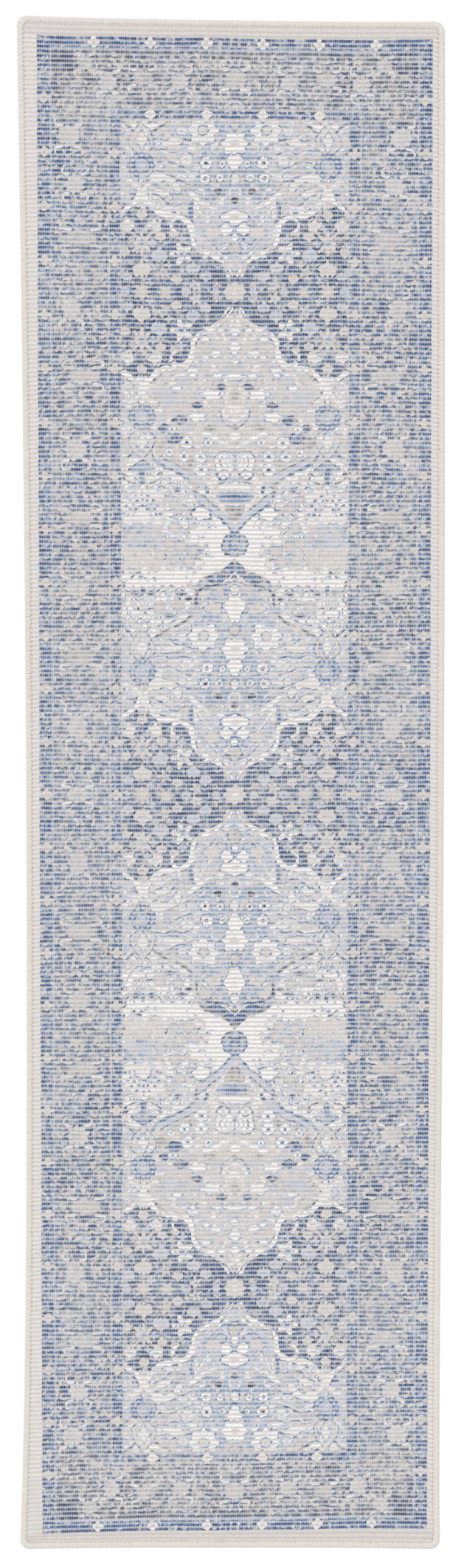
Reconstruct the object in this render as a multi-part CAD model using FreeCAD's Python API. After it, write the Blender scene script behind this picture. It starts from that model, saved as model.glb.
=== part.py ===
import FreeCAD, Part
import math
import os

# Flat-woven runner rug, lying flat. All lengths are in millimetres.
# Origin: bottom centre. +X runs across the rug, +Y along it, +Z up.

# Outline of the finished rug
LENGTH = 2438.0
WIDTH = 670.0
CORNER_RADIUS = 16.0

# Layers of the cloth, from the floor upwards
BACKING_THICKNESS = 0.8
ADHESIVE_THICKNESS = 0.4
GROUND_THICKNESS = 1.6
WARP_HEIGHT = 0.6
RIB_HEIGHT = 1.2

BACKING_TOP = BACKING_THICKNESS
ADHESIVE_TOP = BACKING_TOP + ADHESIVE_THICKNESS
GROUND_TOP = ADHESIVE_TOP + GROUND_THICKNESS
WARP_TOP = GROUND_TOP + WARP_HEIGHT

# Ribs: fat weft yarns laid side by side across the rug
RIB_PITCH = 7.07
RIB_WIDTH = 4.4
PRINTED_RIBS = 337
PLAIN_RIBS_PER_END = 2
RIB_SIDE_WALL = 0.25

# Warp threads: thin yarns along the rug, seen between the ribs
WARP_PITCH = 3.53
WARP_WIDTH = 1.2

# Serging: the yarn wrapped round the raw edge of the cloth
SERGING_WIDTH = 10.0
SERGING_OVERHANG = 2.0
SERGING_HEIGHT = 4.8
SERGING_ROUNDING = 1.6
FLAT_TOLERANCE = 0.001

# Sewing threads along the inner side of the serging
THREAD_WIDTH = 0.7
THREAD_HEIGHT = 0.9
THREAD_LIFT = 0.1
THREAD_ROOM = 1.0

# Room between the ends of the ribs and the serging
FACE_MARGIN = SERGING_WIDTH + 1.6

# Blank care label on the underside, near one corner
LABEL_LENGTH = 45.0
LABEL_WIDTH = 28.0
LABEL_THICKNESS = 0.35
LABEL_LIFT = 0.15
LABEL_EDGE_GAP = 24.0
POCKET_CLEARANCE = 0.3
STITCH_LENGTH = 3.0
STITCH_PITCH = 4.2
STITCH_WIDTH = 0.5
STITCH_HEIGHT = 0.12
STITCH_INSET = 2.5
STITCHES_PER_ROW = 10

UP = FreeCAD.Vector(0, 0, 1)


def bar(width, length, height, x, y, z):
    """A box centred on x and y, standing on z."""
    corner = FreeCAD.Vector(x - width / 2, y - length / 2, z)
    return Part.makeBox(width, length, height, corner)


def slab(inset, bottom, top):
    """A plate of the rug's outline, drawn in by inset, with round corners."""
    radius = CORNER_RADIUS - inset
    centre_x = WIDTH / 2 - CORNER_RADIUS
    centre_y = LENGTH / 2 - CORNER_RADIUS
    arcs = []
    for side_x, side_y, start in ((1, 1, 0), (-1, 1, 90), (-1, -1, 180), (1, -1, 270)):
        centre = FreeCAD.Vector(side_x * centre_x, side_y * centre_y, bottom)
        circle = Part.Circle(centre, UP, radius)
        arcs.append(Part.Arc(circle, math.radians(start), math.radians(start + 90)))
    outline = []
    for arc, following in zip(arcs, arcs[1:] + arcs[:1]):
        outline.append(arc.toShape())
        outline.append(Part.LineSegment(arc.EndPoint, following.StartPoint).toShape())
    face = Part.Face(Part.Wire(outline))
    return face.extrude(UP * (top - bottom))


def ring(outer_inset, inner_inset, bottom, top):
    """A closed loop of rectangular section that follows the rug's outline."""
    return slab(outer_inset, bottom, top).cut(slab(inner_inset, bottom, top))


def rib(y):
    """One rib: a yarn of D section, flat below and round above."""
    half_length = WIDTH / 2 - FACE_MARGIN
    half_width = RIB_WIDTH / 2
    shoulder = WARP_TOP + RIB_SIDE_WALL
    left_foot = FreeCAD.Vector(-half_length, y - half_width, WARP_TOP)
    left_shoulder = FreeCAD.Vector(-half_length, y - half_width, shoulder)
    crest = FreeCAD.Vector(-half_length, y, WARP_TOP + RIB_HEIGHT)
    right_shoulder = FreeCAD.Vector(-half_length, y + half_width, shoulder)
    right_foot = FreeCAD.Vector(-half_length, y + half_width, WARP_TOP)
    edges = [
        Part.LineSegment(left_foot, left_shoulder).toShape(),
        Part.Arc(left_shoulder, crest, right_shoulder).toShape(),
        Part.LineSegment(right_shoulder, right_foot).toShape(),
        Part.LineSegment(right_foot, left_foot).toShape(),
    ]
    section = Part.Face(Part.Wire(edges))
    return section.extrude(FreeCAD.Vector(2 * half_length, 0, 0))


def rib_group(first, last):
    """Separate ribs, numbered from the middle one, first to last."""
    return Part.makeCompound([rib(number * RIB_PITCH) for number in range(first, last + 1)])


def make_printed_ribs():
    outermost = PRINTED_RIBS // 2
    return rib_group(-outermost, outermost)


def make_plain_end_ribs():
    first_plain = PRINTED_RIBS // 2 + 1
    last_plain = PRINTED_RIBS // 2 + PLAIN_RIBS_PER_END
    head = rib_group(first_plain, last_plain)
    foot = rib_group(-last_plain, -first_plain)
    return Part.makeCompound(head.Solids + foot.Solids)


def make_warp_threads():
    """Straight threads under the ribs, as long as the ribbed face."""
    outermost_rib = PRINTED_RIBS // 2 + PLAIN_RIBS_PER_END
    length = 2 * outermost_rib * RIB_PITCH + RIB_WIDTH
    side_room = WIDTH / 2 - FACE_MARGIN - WARP_WIDTH
    threads_per_side = int(side_room / WARP_PITCH)
    threads = []
    for number in range(-threads_per_side, threads_per_side + 1):
        thread = bar(WARP_WIDTH, length, WARP_HEIGHT, number * WARP_PITCH, 0, GROUND_TOP)
        threads.append(thread)
    return Part.makeCompound(threads)


def make_edge_serging():
    """The yarn wrap: a round-edged loop with the cloth's edge inside it."""
    block = slab(0, 0, SERGING_HEIGHT)
    rims = [edge for edge in block.Edges if edge.BoundBox.ZLength < FLAT_TOLERANCE]
    rounded = block.makeFillet(SERGING_ROUNDING, rims)
    window = slab(SERGING_WIDTH, 0, SERGING_HEIGHT)
    cloth_edge = slab(SERGING_OVERHANG, BACKING_TOP, GROUND_TOP)
    return rounded.cut(window).cut(cloth_edge)


def make_care_label():
    return label_bar(LABEL_WIDTH, LABEL_LENGTH, LABEL_LIFT, LABEL_THICKNESS)


def label_bar(width, length, bottom, height):
    """A box centred on the label's place on the underside."""
    x = WIDTH / 2 - LABEL_EDGE_GAP - LABEL_WIDTH / 2
    y = -LENGTH / 2 + LABEL_EDGE_GAP + LABEL_LENGTH / 2
    return bar(width, length, height, x, y, bottom)


def make_backing_cloth():
    """The backing lies inside the serging and has a shallow pocket for the label."""
    sheet = slab(SERGING_WIDTH + THREAD_ROOM, 0, BACKING_TOP)
    pocket = label_bar(
        LABEL_WIDTH + 2 * POCKET_CLEARANCE,
        LABEL_LENGTH + 2 * POCKET_CLEARANCE,
        0,
        LABEL_LIFT + LABEL_THICKNESS,
    )
    return sheet.cut(pocket)


def make_label_stitches():
    """Two rows of short stitches along the label's long sides."""
    centre_x = WIDTH / 2 - LABEL_EDGE_GAP - LABEL_WIDTH / 2
    centre_y = -LENGTH / 2 + LABEL_EDGE_GAP + LABEL_LENGTH / 2
    row_distance = LABEL_WIDTH / 2 - STITCH_INSET
    stitches = []
    for side in (-1, 1):
        for number in range(STITCHES_PER_ROW):
            y = centre_y + (number - (STITCHES_PER_ROW - 1) / 2) * STITCH_PITCH
            x = centre_x + side * row_distance
            stitch = bar(STITCH_WIDTH, STITCH_LENGTH, STITCH_HEIGHT, x, y, LABEL_LIFT - STITCH_HEIGHT)
            stitches.append(stitch)
    return Part.makeCompound(stitches)


def make_needle_thread():
    """The sewing thread on the face, along the inner side of the serging."""
    bottom = GROUND_TOP
    return ring(SERGING_WIDTH, SERGING_WIDTH + THREAD_WIDTH, bottom, bottom + THREAD_HEIGHT)


def make_looper_thread():
    """The sewing thread on the underside, along the inner side of the serging."""
    return ring(SERGING_WIDTH, SERGING_WIDTH + THREAD_WIDTH, THREAD_LIFT, BACKING_TOP)


NODES = {
    "backing_cloth": make_backing_cloth(),
    "adhesive_layer": slab(SERGING_OVERHANG, BACKING_TOP, ADHESIVE_TOP),
    "ground_cloth": slab(SERGING_OVERHANG, ADHESIVE_TOP, GROUND_TOP),
    "warp_threads": make_warp_threads(),
    "printed_ribs": make_printed_ribs(),
    "plain_end_ribs": make_plain_end_ribs(),
    "edge_serging": make_edge_serging(),
    "serging_needle_thread": make_needle_thread(),
    "serging_looper_thread": make_looper_thread(),
    "care_label": make_care_label(),
    "label_stitches": make_label_stitches(),
}

os.makedirs("parts", exist_ok=True)
for name, shape in NODES.items():
    shape.exportStep("parts/" + name + ".step")
    print(name, len(shape.Solids), "solids, valid:", shape.isValid())
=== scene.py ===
import math

import bpy
import numpy as np
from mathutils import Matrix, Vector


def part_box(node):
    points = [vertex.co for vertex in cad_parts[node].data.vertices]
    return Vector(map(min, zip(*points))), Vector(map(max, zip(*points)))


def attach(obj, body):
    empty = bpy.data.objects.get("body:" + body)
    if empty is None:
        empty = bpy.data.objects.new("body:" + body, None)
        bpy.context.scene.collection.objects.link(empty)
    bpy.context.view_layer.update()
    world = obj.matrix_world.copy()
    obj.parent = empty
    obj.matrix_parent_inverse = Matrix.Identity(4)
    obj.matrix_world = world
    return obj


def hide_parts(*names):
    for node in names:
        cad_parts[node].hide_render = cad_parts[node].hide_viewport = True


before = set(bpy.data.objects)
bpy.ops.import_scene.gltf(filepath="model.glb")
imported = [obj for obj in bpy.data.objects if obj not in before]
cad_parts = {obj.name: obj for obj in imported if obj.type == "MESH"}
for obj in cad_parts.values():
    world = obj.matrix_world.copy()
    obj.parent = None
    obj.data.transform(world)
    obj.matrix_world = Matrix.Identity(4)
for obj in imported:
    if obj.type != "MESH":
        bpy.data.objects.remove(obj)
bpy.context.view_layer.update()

MM = 0.001
BODY = "root"
TURN = 2 * math.pi

# ---------------------------------------------------------------- sizes

HALF_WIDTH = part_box("edge_serging")[1].x
HALF_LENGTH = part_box("edge_serging")[1].y
CORNER_RADIUS = 16 * MM
SERGING_WIDTH = 10 * MM

PRINTED_RIBS = 337
RIB_WIDTH = 4.4 * MM
RIBS_LOW, RIBS_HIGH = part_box("printed_ribs")
RIB_PITCH = (RIBS_HIGH.y - RIBS_LOW.y - RIB_WIDTH) / (PRINTED_RIBS - 1)
FACE_RIBS = 343
FACE_BANDS = 14
STITCH_PITCH = 3.53 * MM
COLUMNS_PER_STITCH = 3
FACE_COLUMNS_PER_SIDE = 282
FACE_CORNER_SIZE = 10 * MM

# Where the mesh rows of one rib lie, as shares of the pitch, and their heights
ROW_PHASES = np.array([0.0, 0.2, 0.33, 0.5, 0.67, 0.8])
ROW_HEIGHTS = np.array([3.42, 3.55, 4.32, 4.6, 4.32, 3.55]) * MM
FACE_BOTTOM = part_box("ground_cloth")[0].z

BACKING_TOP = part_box("backing_cloth")[1].z
ADHESIVE_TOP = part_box("adhesive_layer")[1].z
# The layers under the face are shown in this many lengths, set in from the outline
LAYER_LENGTHS = 4
LAYER_GAP = 0.02 * MM
BACKING_INSET = 11.6 * MM
FILM_SIDE_INSET = 4 * MM
FILM_END_INSET = 6 * MM

# The two threads along the serging: distance in from the outline, height, pitch and stitch length
NEEDLE_INSET = 11.0 * MM
NEEDLE_HEIGHT = 3.75 * MM
NEEDLE_STITCH = 3.6 * MM
LOOPER_INSET = 10.9 * MM
LOOPER_HEIGHT = 0.4 * MM
LOOPER_STITCH = 4.2 * MM
THREAD_PITCH = 4.6 * MM

# ---------------------------------------------------------------- how the rug lies

# How far the middle of the rug bows sideways
SIDE_BOW = 6.5 * MM
# Where the rug is narrowest, as a share of its half length, and its shares of width lost and regained
NARROWEST = -0.22
WAIST = 0.0055
WIDENING = 0.007
# How much wider the foot end spreads, and how far the corners point outwards
FOOT_FLARE = 0.017
CORNER_FLARE = 3.0 * MM
# How far the ends lean from a right angle, and the length over which the ribs follow
END_SKEW = 4.7 * MM
SKEW_FADE = 26 * MM
PRINT_AXIS = SIDE_BOW / 2
LIFT = 0.3 * MM


def settle(x, y):
    """Moves points of a perfectly straight rug to where the slightly uneven one lies."""
    along = y / HALF_LENGTH
    side = x / HALF_WIDTH
    middle = np.cos(np.clip(along, -1, 1) * math.pi / 2)
    foot = np.clip(-along, 0, None) ** 6
    width = 1 - WAIST + WIDENING * (along - NARROWEST) ** 2
    shifted = x * width + FOOT_FLARE * foot * (x - 0.3 * HALF_WIDTH) + SIDE_BOW * (middle - 0.5)
    skewed = y - END_SKEW * side * np.clip(along, 0, None) ** 3
    flared = skewed + CORNER_FLARE * np.abs(side) ** 3 * along ** 15
    return shifted, flared


def lift(x, y):
    """The height of the soft waves that the rug keeps on a flat floor."""
    return LIFT * (1 + np.sin(TURN * y / 0.63 + 0.7) * np.cos(TURN * x / 0.9))


def place(x, y, z):
    """World points, one row each, of straight-rug coordinates."""
    world_x, world_y = settle(x, y)
    return np.stack([world_x, world_y, z + lift(x, y)], axis=-1)


# ---------------------------------------------------------------- noise


def patchy(x, y, size_x, size_y, seed):
    """Smooth random values from 0 to 1, in patches of about size_x by size_y."""
    rng = np.random.default_rng(seed)
    table = rng.random((127, 131))
    column = x / size_x + 1000.0
    row = y / size_y + 1000.0
    left = np.floor(column).astype(int)
    low = np.floor(row).astype(int)
    share_x = column - left
    share_y = row - low
    share_x = share_x * share_x * (3 - 2 * share_x)
    share_y = share_y * share_y * (3 - 2 * share_y)
    rows = low % table.shape[0]
    next_rows = (low + 1) % table.shape[0]
    columns = left % table.shape[1]
    next_columns = (left + 1) % table.shape[1]
    bottom = table[rows, columns] * (1 - share_x) + table[rows, next_columns] * share_x
    top = table[next_rows, columns] * (1 - share_x) + table[next_rows, next_columns] * share_x
    return bottom * (1 - share_y) + top * share_y


def cloudy(x, y, size_x, size_y, seed):
    """Patches with finer patches in them, from 0 to 1."""
    coarse = patchy(x, y, size_x, size_y, seed)
    middle = patchy(x, y, size_x / 2.3, size_y / 2.3, seed + 1)
    fine = patchy(x, y, size_x / 5.1, size_y / 5.1, seed + 2)
    return 0.5 * coarse + 0.3 * middle + 0.2 * fine


def smooth_step(values, low, high):
    """A smooth rise from 0 to 1 as the values go from low to high."""
    share = np.clip((values - low) / (high - low), 0, 1)
    return share * share * (3 - 2 * share)


# ---------------------------------------------------------------- colours of the print

YARN = (0.900, 0.882, 0.870)
# The plain yarn past the print's ends is YARN painted darker: painted shade
SHADED_END_YARN = (0.850, 0.822, 0.806)
IVORY = (0.945, 0.940, 0.936)
WHITE = (0.990, 0.988, 0.986)
BEIGE = (0.855, 0.838, 0.828)
STONE = (0.788, 0.774, 0.768)
TAUPE = (0.655, 0.645, 0.645)
SLATE = (0.430, 0.445, 0.500)
LILAC = (0.740, 0.785, 0.865)
SKY = (0.550, 0.655, 0.795)
BLUE = (0.285, 0.440, 0.650)
NIGHT = (0.205, 0.345, 0.545)
NAVY = (0.120, 0.225, 0.400)


def linear(colour):
    """Screen colours as scene-linear ones."""
    colour = np.asarray(colour, float)
    return np.where(colour <= 0.04045, colour / 12.92, ((colour + 0.055) / 1.055) ** 2.4)


# ---------------------------------------------------------------- the print, drawn on a quarter canvas
# The print is the same left and right, head and foot. All its places are in millimetres from the
# middle of the rug: u across and v along.

CELL = 0.6
PRINT_HALF_WIDTH = 311.0
PRINT_HALF_LENGTH = 1191.0
COLUMNS = int(PRINT_HALF_WIDTH / CELL) + 3
ROWS = int(PRINT_HALF_LENGTH / CELL) + 3
REPEAT = 795.0

OUTER_GUARD = 290.0
MAIN_BORDER = 199.0
FIELD = 180.0
END_OUTER_GUARD = 1172.0
END_MAIN_BORDER = 1080.0
END_FIELD = 1062.0
CORNER_BLOCK = (254, 289, 1136, 1170)
GUARD_SPACING = 84.3
PALMETTE_SPACING = 110.5
COLUMN_AXIS = 147.0

# The unprinted yarn is a little darker beyond this place near the foot
FOOT_SHADE = 0.03
FOOT_SHADE_START = -1100.0


def window(low_u, high_u, low_v, high_v):
    """The canvas cells in a rectangle: their slices and their u and v."""
    first_column = min(max(int(low_u / CELL), 0), COLUMNS)
    last_column = min(max(int(high_u / CELL) + 2, 0), COLUMNS)
    first_row = min(max(int(low_v / CELL), 0), ROWS)
    last_row = min(max(int(high_v / CELL) + 2, 0), ROWS)
    where = (slice(first_row, last_row), slice(first_column, last_column))
    v, u = np.mgrid[where]
    return where, u * CELL, v * CELL


def lay(canvas, where, mask, colour):
    """Lays a colour over part of the canvas, as thick as the mask."""
    area = canvas[where]
    area += mask[..., None] * (np.array(colour) - area)


def flower(canvas, u, v, radius_u, radius_v, colour, petals=6, depth=0.16, rim=None, eye=None):
    """A round or oval bloom with petals, and if asked a darker rim and an eye."""
    reach = 1.5 * max(radius_u, radius_v)
    where, grid_u, grid_v = window(u - reach, u + reach, v - reach, v + reach)
    offset_u = (grid_u - u) / radius_u
    offset_v = (grid_v - v) / radius_v
    radius = np.hypot(offset_u, offset_v)
    angle = np.arctan2(offset_v, offset_u)
    edge = 1 + depth * np.cos(petals * angle)
    scale = min(radius_u, radius_v)
    if rim is not None:
        lay(canvas, where, smooth_step((edge - radius) * scale, -2.6, -1.4), rim)
    lay(canvas, where, smooth_step((edge - radius) * scale, -0.7, 0.7), colour)
    if eye is not None:
        lay(canvas, where, smooth_step((0.36 * edge - radius) * scale, -0.7, 0.7), eye)


def ring(canvas, u, v, radius, width, colour):
    """A painted circle."""
    where, grid_u, grid_v = window(u - radius - width, u + radius + width,
                                   v - radius - width, v + radius + width)
    distance = np.abs(np.hypot(grid_u - u, grid_v - v) - radius)
    lay(canvas, where, smooth_step(width / 2 - distance, -0.6, 0.6), colour)


def block(canvas, low_u, high_u, low_v, high_v, colour, strength=1.0):
    """A painted rectangle."""
    where, grid_u, grid_v = window(low_u - 1, high_u + 1, low_v - 1, high_v + 1)
    inside = np.minimum(np.minimum(grid_u - low_u, high_u - grid_u),
                        np.minimum(grid_v - low_v, high_v - grid_v))
    lay(canvas, where, strength * smooth_step(inside, -0.6, 0.6), colour)


def rounded_path(points, steps=5):
    """A smooth line through a few points."""
    points = np.asarray(points, float)
    padded = np.vstack([2 * points[0] - points[1], points, 2 * points[-1] - points[-2]])
    share = (np.arange(steps) / steps)[:, None]
    spans = []
    for before, start, end, after in zip(padded, padded[1:], padded[2:], padded[3:]):
        spans.append(0.5 * (2 * start + (end - before) * share
                            + (2 * before - 5 * start + 4 * end - after) * share ** 2
                            + (3 * start - before - 3 * end + after) * share ** 3))
    return np.vstack(spans + [points[-1:]])


def stroke(canvas, points, width, colour, taper=False):
    """A smooth painted line. A tapered one thins out towards its end."""
    path = rounded_path(points)
    count = len(path) - 1
    for number, (start, end) in enumerate(zip(path, path[1:])):
        half = width / 2 * (1 - 0.8 * number / count if taper else 1)
        low = np.minimum(start, end) - half - 1
        high = np.maximum(start, end) + half + 1
        where, grid_u, grid_v = window(low[0], high[0], low[1], high[1])
        direction = end - start
        length = max(float(direction @ direction), 1e-9)
        share = ((grid_u - start[0]) * direction[0] + (grid_v - start[1]) * direction[1]) / length
        share = np.clip(share, 0, 1)
        distance = np.hypot(grid_u - start[0] - share * direction[0],
                            grid_v - start[1] - share * direction[1])
        lay(canvas, where, smooth_step(half - distance, -0.6, 0.6), colour)


def region(canvas, points, colour, smooth=True):
    """Fills the inside of a closed outline."""
    path = rounded_path(points) if smooth else np.asarray(points, float)
    low = path.min(0)
    high = path.max(0)
    where, grid_u, grid_v = window(low[0], high[0], low[1], high[1])
    inside = np.zeros(grid_u.shape, bool)
    for start, end in zip(path, np.roll(path, -1, axis=0)):
        if start[1] == end[1]:
            continue
        crosses = (start[1] > grid_v) != (end[1] > grid_v)
        border = start[0] + (grid_v - start[1]) / (end[1] - start[1]) * (end[0] - start[0])
        inside ^= crosses & (grid_u < border)
    lay(canvas, where, inside.astype(float), colour)


class Half:
    """The print on one side of a blue pinch. Its places are u and the distance from the pinch."""

    def __init__(self, canvas, origin, sign):
        self.canvas = canvas
        self.origin = origin
        self.sign = sign

    def at(self, distance):
        return self.origin + self.sign * distance

    def span(self, near, far):
        """The lower and the higher v of a stretch."""
        return sorted((self.at(near), self.at(far)))

    def placed(self, points):
        return [(u, self.at(distance)) for u, distance in points]

    def stroke(self, points, width, colour, taper=False):
        stroke(self.canvas, self.placed(points), width, colour, taper)

    def region(self, points, colour, smooth=True):
        region(self.canvas, self.placed(points), colour, smooth)

    def flower(self, u, distance, *look):
        flower(self.canvas, u, self.at(distance), *look)

    def blooms(self, colour, rim, petals, rows):
        """Several blooms of one kind. Each row is u, distance from the pinch and the two radii."""
        for u, distance, radius_u, radius_v in rows:
            self.flower(u, distance, radius_u, radius_v, colour, petals, 0.2, rim)


def within(points, u, v):
    """True if a place is inside a closed outline."""
    inside = False
    for (start_u, start_v), (end_u, end_v) in zip(points, points[1:] + points[:1]):
        if (start_v > v) != (end_v > v):
            inside ^= u < start_u + (v - start_v) / (end_v - start_v) * (end_u - start_u)
    return inside


def curls(canvas, area, gap, seed, colours, outline, width, keep=lambda u, v: True):
    """Fills an area with small curled leaves at uneven spacing, outlined so that each one shows."""
    rng = np.random.default_rng(seed)
    low_u, high_u, low_v, high_v = area
    for row, row_v in enumerate(np.arange(low_v, high_v, gap)):
        for column_u in np.arange(low_u + (row % 2) * gap / 2, high_u, gap):
            u, v = np.array([column_u, row_v]) + rng.uniform(-0.35, 0.35, 2) * gap
            heading = rng.uniform(0, TURN)
            bend = rng.choice([-1, 1]) * rng.uniform(0.5, 1.3)
            colour = colours[rng.integers(len(colours))]
            size = width * rng.uniform(0.8, 1.25)
            if not keep(u, v):
                continue
            leaf = []
            for step in range(4):
                leaf.append((u, v))
                u += 0.42 * gap * math.cos(heading + step * bend)
                v += 0.42 * gap * math.sin(heading + step * bend)
            stroke(canvas, leaf, size + 2.4, outline, True)
            stroke(canvas, leaf, size, colour, True)


# Half outlines of the medallions: u and the distance from the nearer blue pinch
LOWER_OUTLINE = [(6, 26), (14, 36), (26, 50), (42, 60), (57, 67), (66, 80), (67, 98), (76, 112),
                 (94, 119), (114, 122), (130, 133), (141, 150), (147, 178)]
BLUE_MEDALLION_TOP = [(147, 214), (141, 232), (130, 248), (112, 260), (90, 270), (72, 282),
                      (62, 300), (61, 326), (50, 342), (30, 350), (12, 360), (0, 372)]
IVORY_GROUND = [(-10, 330), (62, 262), (120, 252), (147, 214), (170, 250), (190, 262), (190, 410),
                (-10, 410)]
BEIGE_MEDALLION_TOP = [(147, 214), (139, 236), (132, 256), (118, 272), (98, 280), (76, 286),
                       (56, 296), (44, 312), (46, 330), (34, 346), (18, 358), (6, 372), (0, 384)]


def medallion(half, top, ground):
    """The ground of one medallion and the neighbour's edge beyond the column axis."""
    outline = half.placed(LOWER_OUTLINE + [(149, 196)] + top)
    path = np.vstack([rounded_path(outline), [[-20, outline[-1][1]], [-20, outline[0][1]]]])
    region(half.canvas, path, ground, smooth=False)
    lobe = [(COLUMN_AXIS, 178), (152, 152), (163, 136), (184, 122), (184, 270), (163, 258),
            (152, 234), (COLUMN_AXIS, 214)]
    half.region(lobe, ground)


def medallion_edges(half, top, edge):
    """The white scroll with its blue outline below, and the darker band above."""
    side = [(COLUMN_AXIS, 178), (152, 152), (163, 136), (182, 124)]
    for line, shift in ((LOWER_OUTLINE, -1), (side, 1)):
        half.stroke(line, 6.4, WHITE)
        half.stroke([(u + 3.2 * shift, d + 3.6) for u, d in line], 1.7, NAVY)
    leaves = (
        [(9, 28), (15, 40), (27, 50), (41, 57), (50, 54)],
        [(30, 54), (44, 62), (56, 66), (64, 78)],
        [(66, 92), (72, 108), (86, 116), (98, 112), (100, 100), (92, 92)],
        [(104, 120), (118, 122), (132, 132), (142, 148)],
    )
    for leaf in leaves:
        half.stroke(leaf, 10.0, WHITE, True)
    half.stroke([(5, 22), (13, 35), (26, 46), (40, 52)], 1.8, NAVY)
    half.stroke([(89, 98), (95, 106), (104, 113)], 1.8, NAVY)
    half.stroke(top, 6.0, edge)
    half.stroke(top, 1.8, NAVY)
    half.stroke([(u - 4, d - 4) for u, d in top], 2.2, IVORY)
    upper_side = [(COLUMN_AXIS, 214), (152, 236), (163, 254), (182, 268)]
    half.stroke(upper_side, 2.0, NAVY)
    half.stroke([(u + 4, d - 3) for u, d in upper_side], 2.6, IVORY)


def bell(canvas, u, v, size, sign, colour, rim):
    """A small bell-shaped bloom with a pointed top and three lobes below."""
    shape = [(0, 1.15), (0.35, 0.55), (0.95, 0.25), (0.8, -0.45), (0.45, -0.8), (0.25, -0.55),
             (0, -0.95), (-0.25, -0.55), (-0.45, -0.8), (-0.8, -0.45), (-0.95, 0.25), (-0.35, 0.55)]
    outline = [(u + size * 1.35 * across, v + sign * size * 1.3 * along) for across, along in shape]
    region(canvas, outline, rim)
    region(canvas, [(u + size * across, v + sign * size * along) for across, along in shape], colour)


def blue_garden(half):
    """The light blooms on the blue ground on one side of a pinch."""
    outline = half.placed([(0, 0)] + LOWER_OUTLINE + [(163, 136), (184, 122), (184, 0)])
    low, high = half.span(0, 175)
    curls(half.canvas, (20, FIELD, low, high), 15, 63 + (half.sign > 0), (LILAC, SKY, BLUE, SKY), NAVY, 3.2,
          lambda u, v: within(outline, u, v))
    for u, distance, size, direction, colour in (
        (147, 35, 13, 1, BEIGE), (147, 120, 8, -1, BEIGE), (147, 140, 10, 1, IVORY), (117, 86, 8, -1, BEIGE),
        (170, 104, 10, 1, IVORY), (127, 104, 10, 1, IVORY), (119, 58, 12, 1, LILAC), (66, 38, 10, 1, LILAC),
        (174, 62, 8, -1, BEIGE), (92, 20, 8, -1, BEIGE), (46, 24, 9, -1, LILAC), (170, 24, 8, 1, LILAC),
        (96, 92, 7, 1, STONE), (147, 166, 6, -1, LILAC),
    ):
        bell(half.canvas, u, half.at(distance), 1.15 * size, half.sign * direction, colour, NAVY)
        half.stroke([(u - 0.5 * size, distance), (u + 0.5 * size, distance)], 1.6, SKY)
    for u, distance, radius, colour, petals in (
        (147, 76, 15, BEIGE, 8), (84, 60, 14, IVORY, 5), (112, 30, 9, STONE, 5), (62, 10, 8, BEIGE, 5),
        (84, 84, 6, LILAC, 4), (140, 98, 5, LILAC, 4), (104, 42, 5, STONE, 4), (130, 76, 6, LILAC, 4),
        (163, 82, 5, STONE, 4), (134, 14, 6, LILAC, 4), (28, 10, 5, BEIGE, 4), (176, 86, 4, BEIGE, 4),
    ):
        half.flower(u, distance, radius, radius, colour, petals, 0.36, NAVY, SKY)
    for side in (-1, 1):
        petal = [(147 + side * 14, 92), (147 + side * 30, 98),
                 (147 + side * 26, 116), (147 + side * 16, 108)]
        half.stroke(petal, 4.0, BEIGE, True)
    half.stroke([(76, 62), (80, 54), (85, 62), (90, 54), (95, 62)], 1.4, BLUE)
    for vine in (
        [(147, 50), (136, 56), (126, 50), (122, 40)],
        [(147, 92), (140, 98), (136, 110), (128, 118)],
        [(147, 92), (156, 96), (160, 108), (168, 116)],
        [(130, 76), (116, 74), (104, 78), (98, 88)],
        [(147, 18), (130, 22), (124, 34), (132, 44)],
    ):
        half.stroke(vine, 1.8, LILAC)


def blue_pinch(canvas, origin):
    """The small stone-coloured rosette where two medallions meet on the blue ground."""
    flower(canvas, 0, origin, 17, 15, BEIGE, 8, 0.12, NAVY, STONE)
    flower(canvas, 0, origin, 5, 5, IVORY, 6, 0.1)
    flower(canvas, 147, origin, 13, 12, STONE, 8, 0.24, NAVY, BEIGE)
    flower(canvas, 110, origin, 11, 9, STONE, 6, 0.3, BLUE, BEIGE)
    flower(canvas, 30, origin, 7, 7, LILAC, 6, 0.16, NAVY)
    flower(canvas, 78, origin, 8, 7, LILAC, 7, 0.16, NAVY, SKY)
    flower(canvas, 174, origin, 8, 8, LILAC, 7, 0.16, NAVY, SKY)


def column_rosette(half):
    """The dotted rosette between two ogee tips on the column axis, with its stem and pendant."""
    v = half.at(197)
    for side in (-1, 1):
        scroll = [(147, 152), (147 + side * 8, 166), (147 + side * 20, 174), (147 + side * 27, 168)]
        half.stroke(scroll, 7.0, IVORY, True)
        drop = [(147 + side * 3, 216), (147 + side * 17, 228), (147 + side * 13, 246), (147, 262)]
        half.stroke(drop, 5.0, BEIGE)
        half.stroke([(u + side * 3, d) for u, d in drop], 1.8, BLUE)
    half.flower(COLUMN_AXIS, 197, 19, 18, LILAC, 12, 0.06, BLUE)
    ring(half.canvas, COLUMN_AXIS, v, 12, 2.6, BLUE)
    ring(half.canvas, COLUMN_AXIS, v, 7.0, 2.4, SKY)
    for number in range(12):
        angle = TURN * number / 12
        dot_u = COLUMN_AXIS + 16 * math.cos(angle)
        dot_v = v + 16 * math.sin(angle)
        flower(half.canvas, dot_u, dot_v, 2.6, 2.6, LILAC, 4, 0.2, BLUE)
    half.flower(COLUMN_AXIS, 197, 4, 4, LILAC, 6, 0.2)
    half.flower(COLUMN_AXIS, 236, 7, 12, IVORY, 4, 0.2, SKY)


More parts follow.
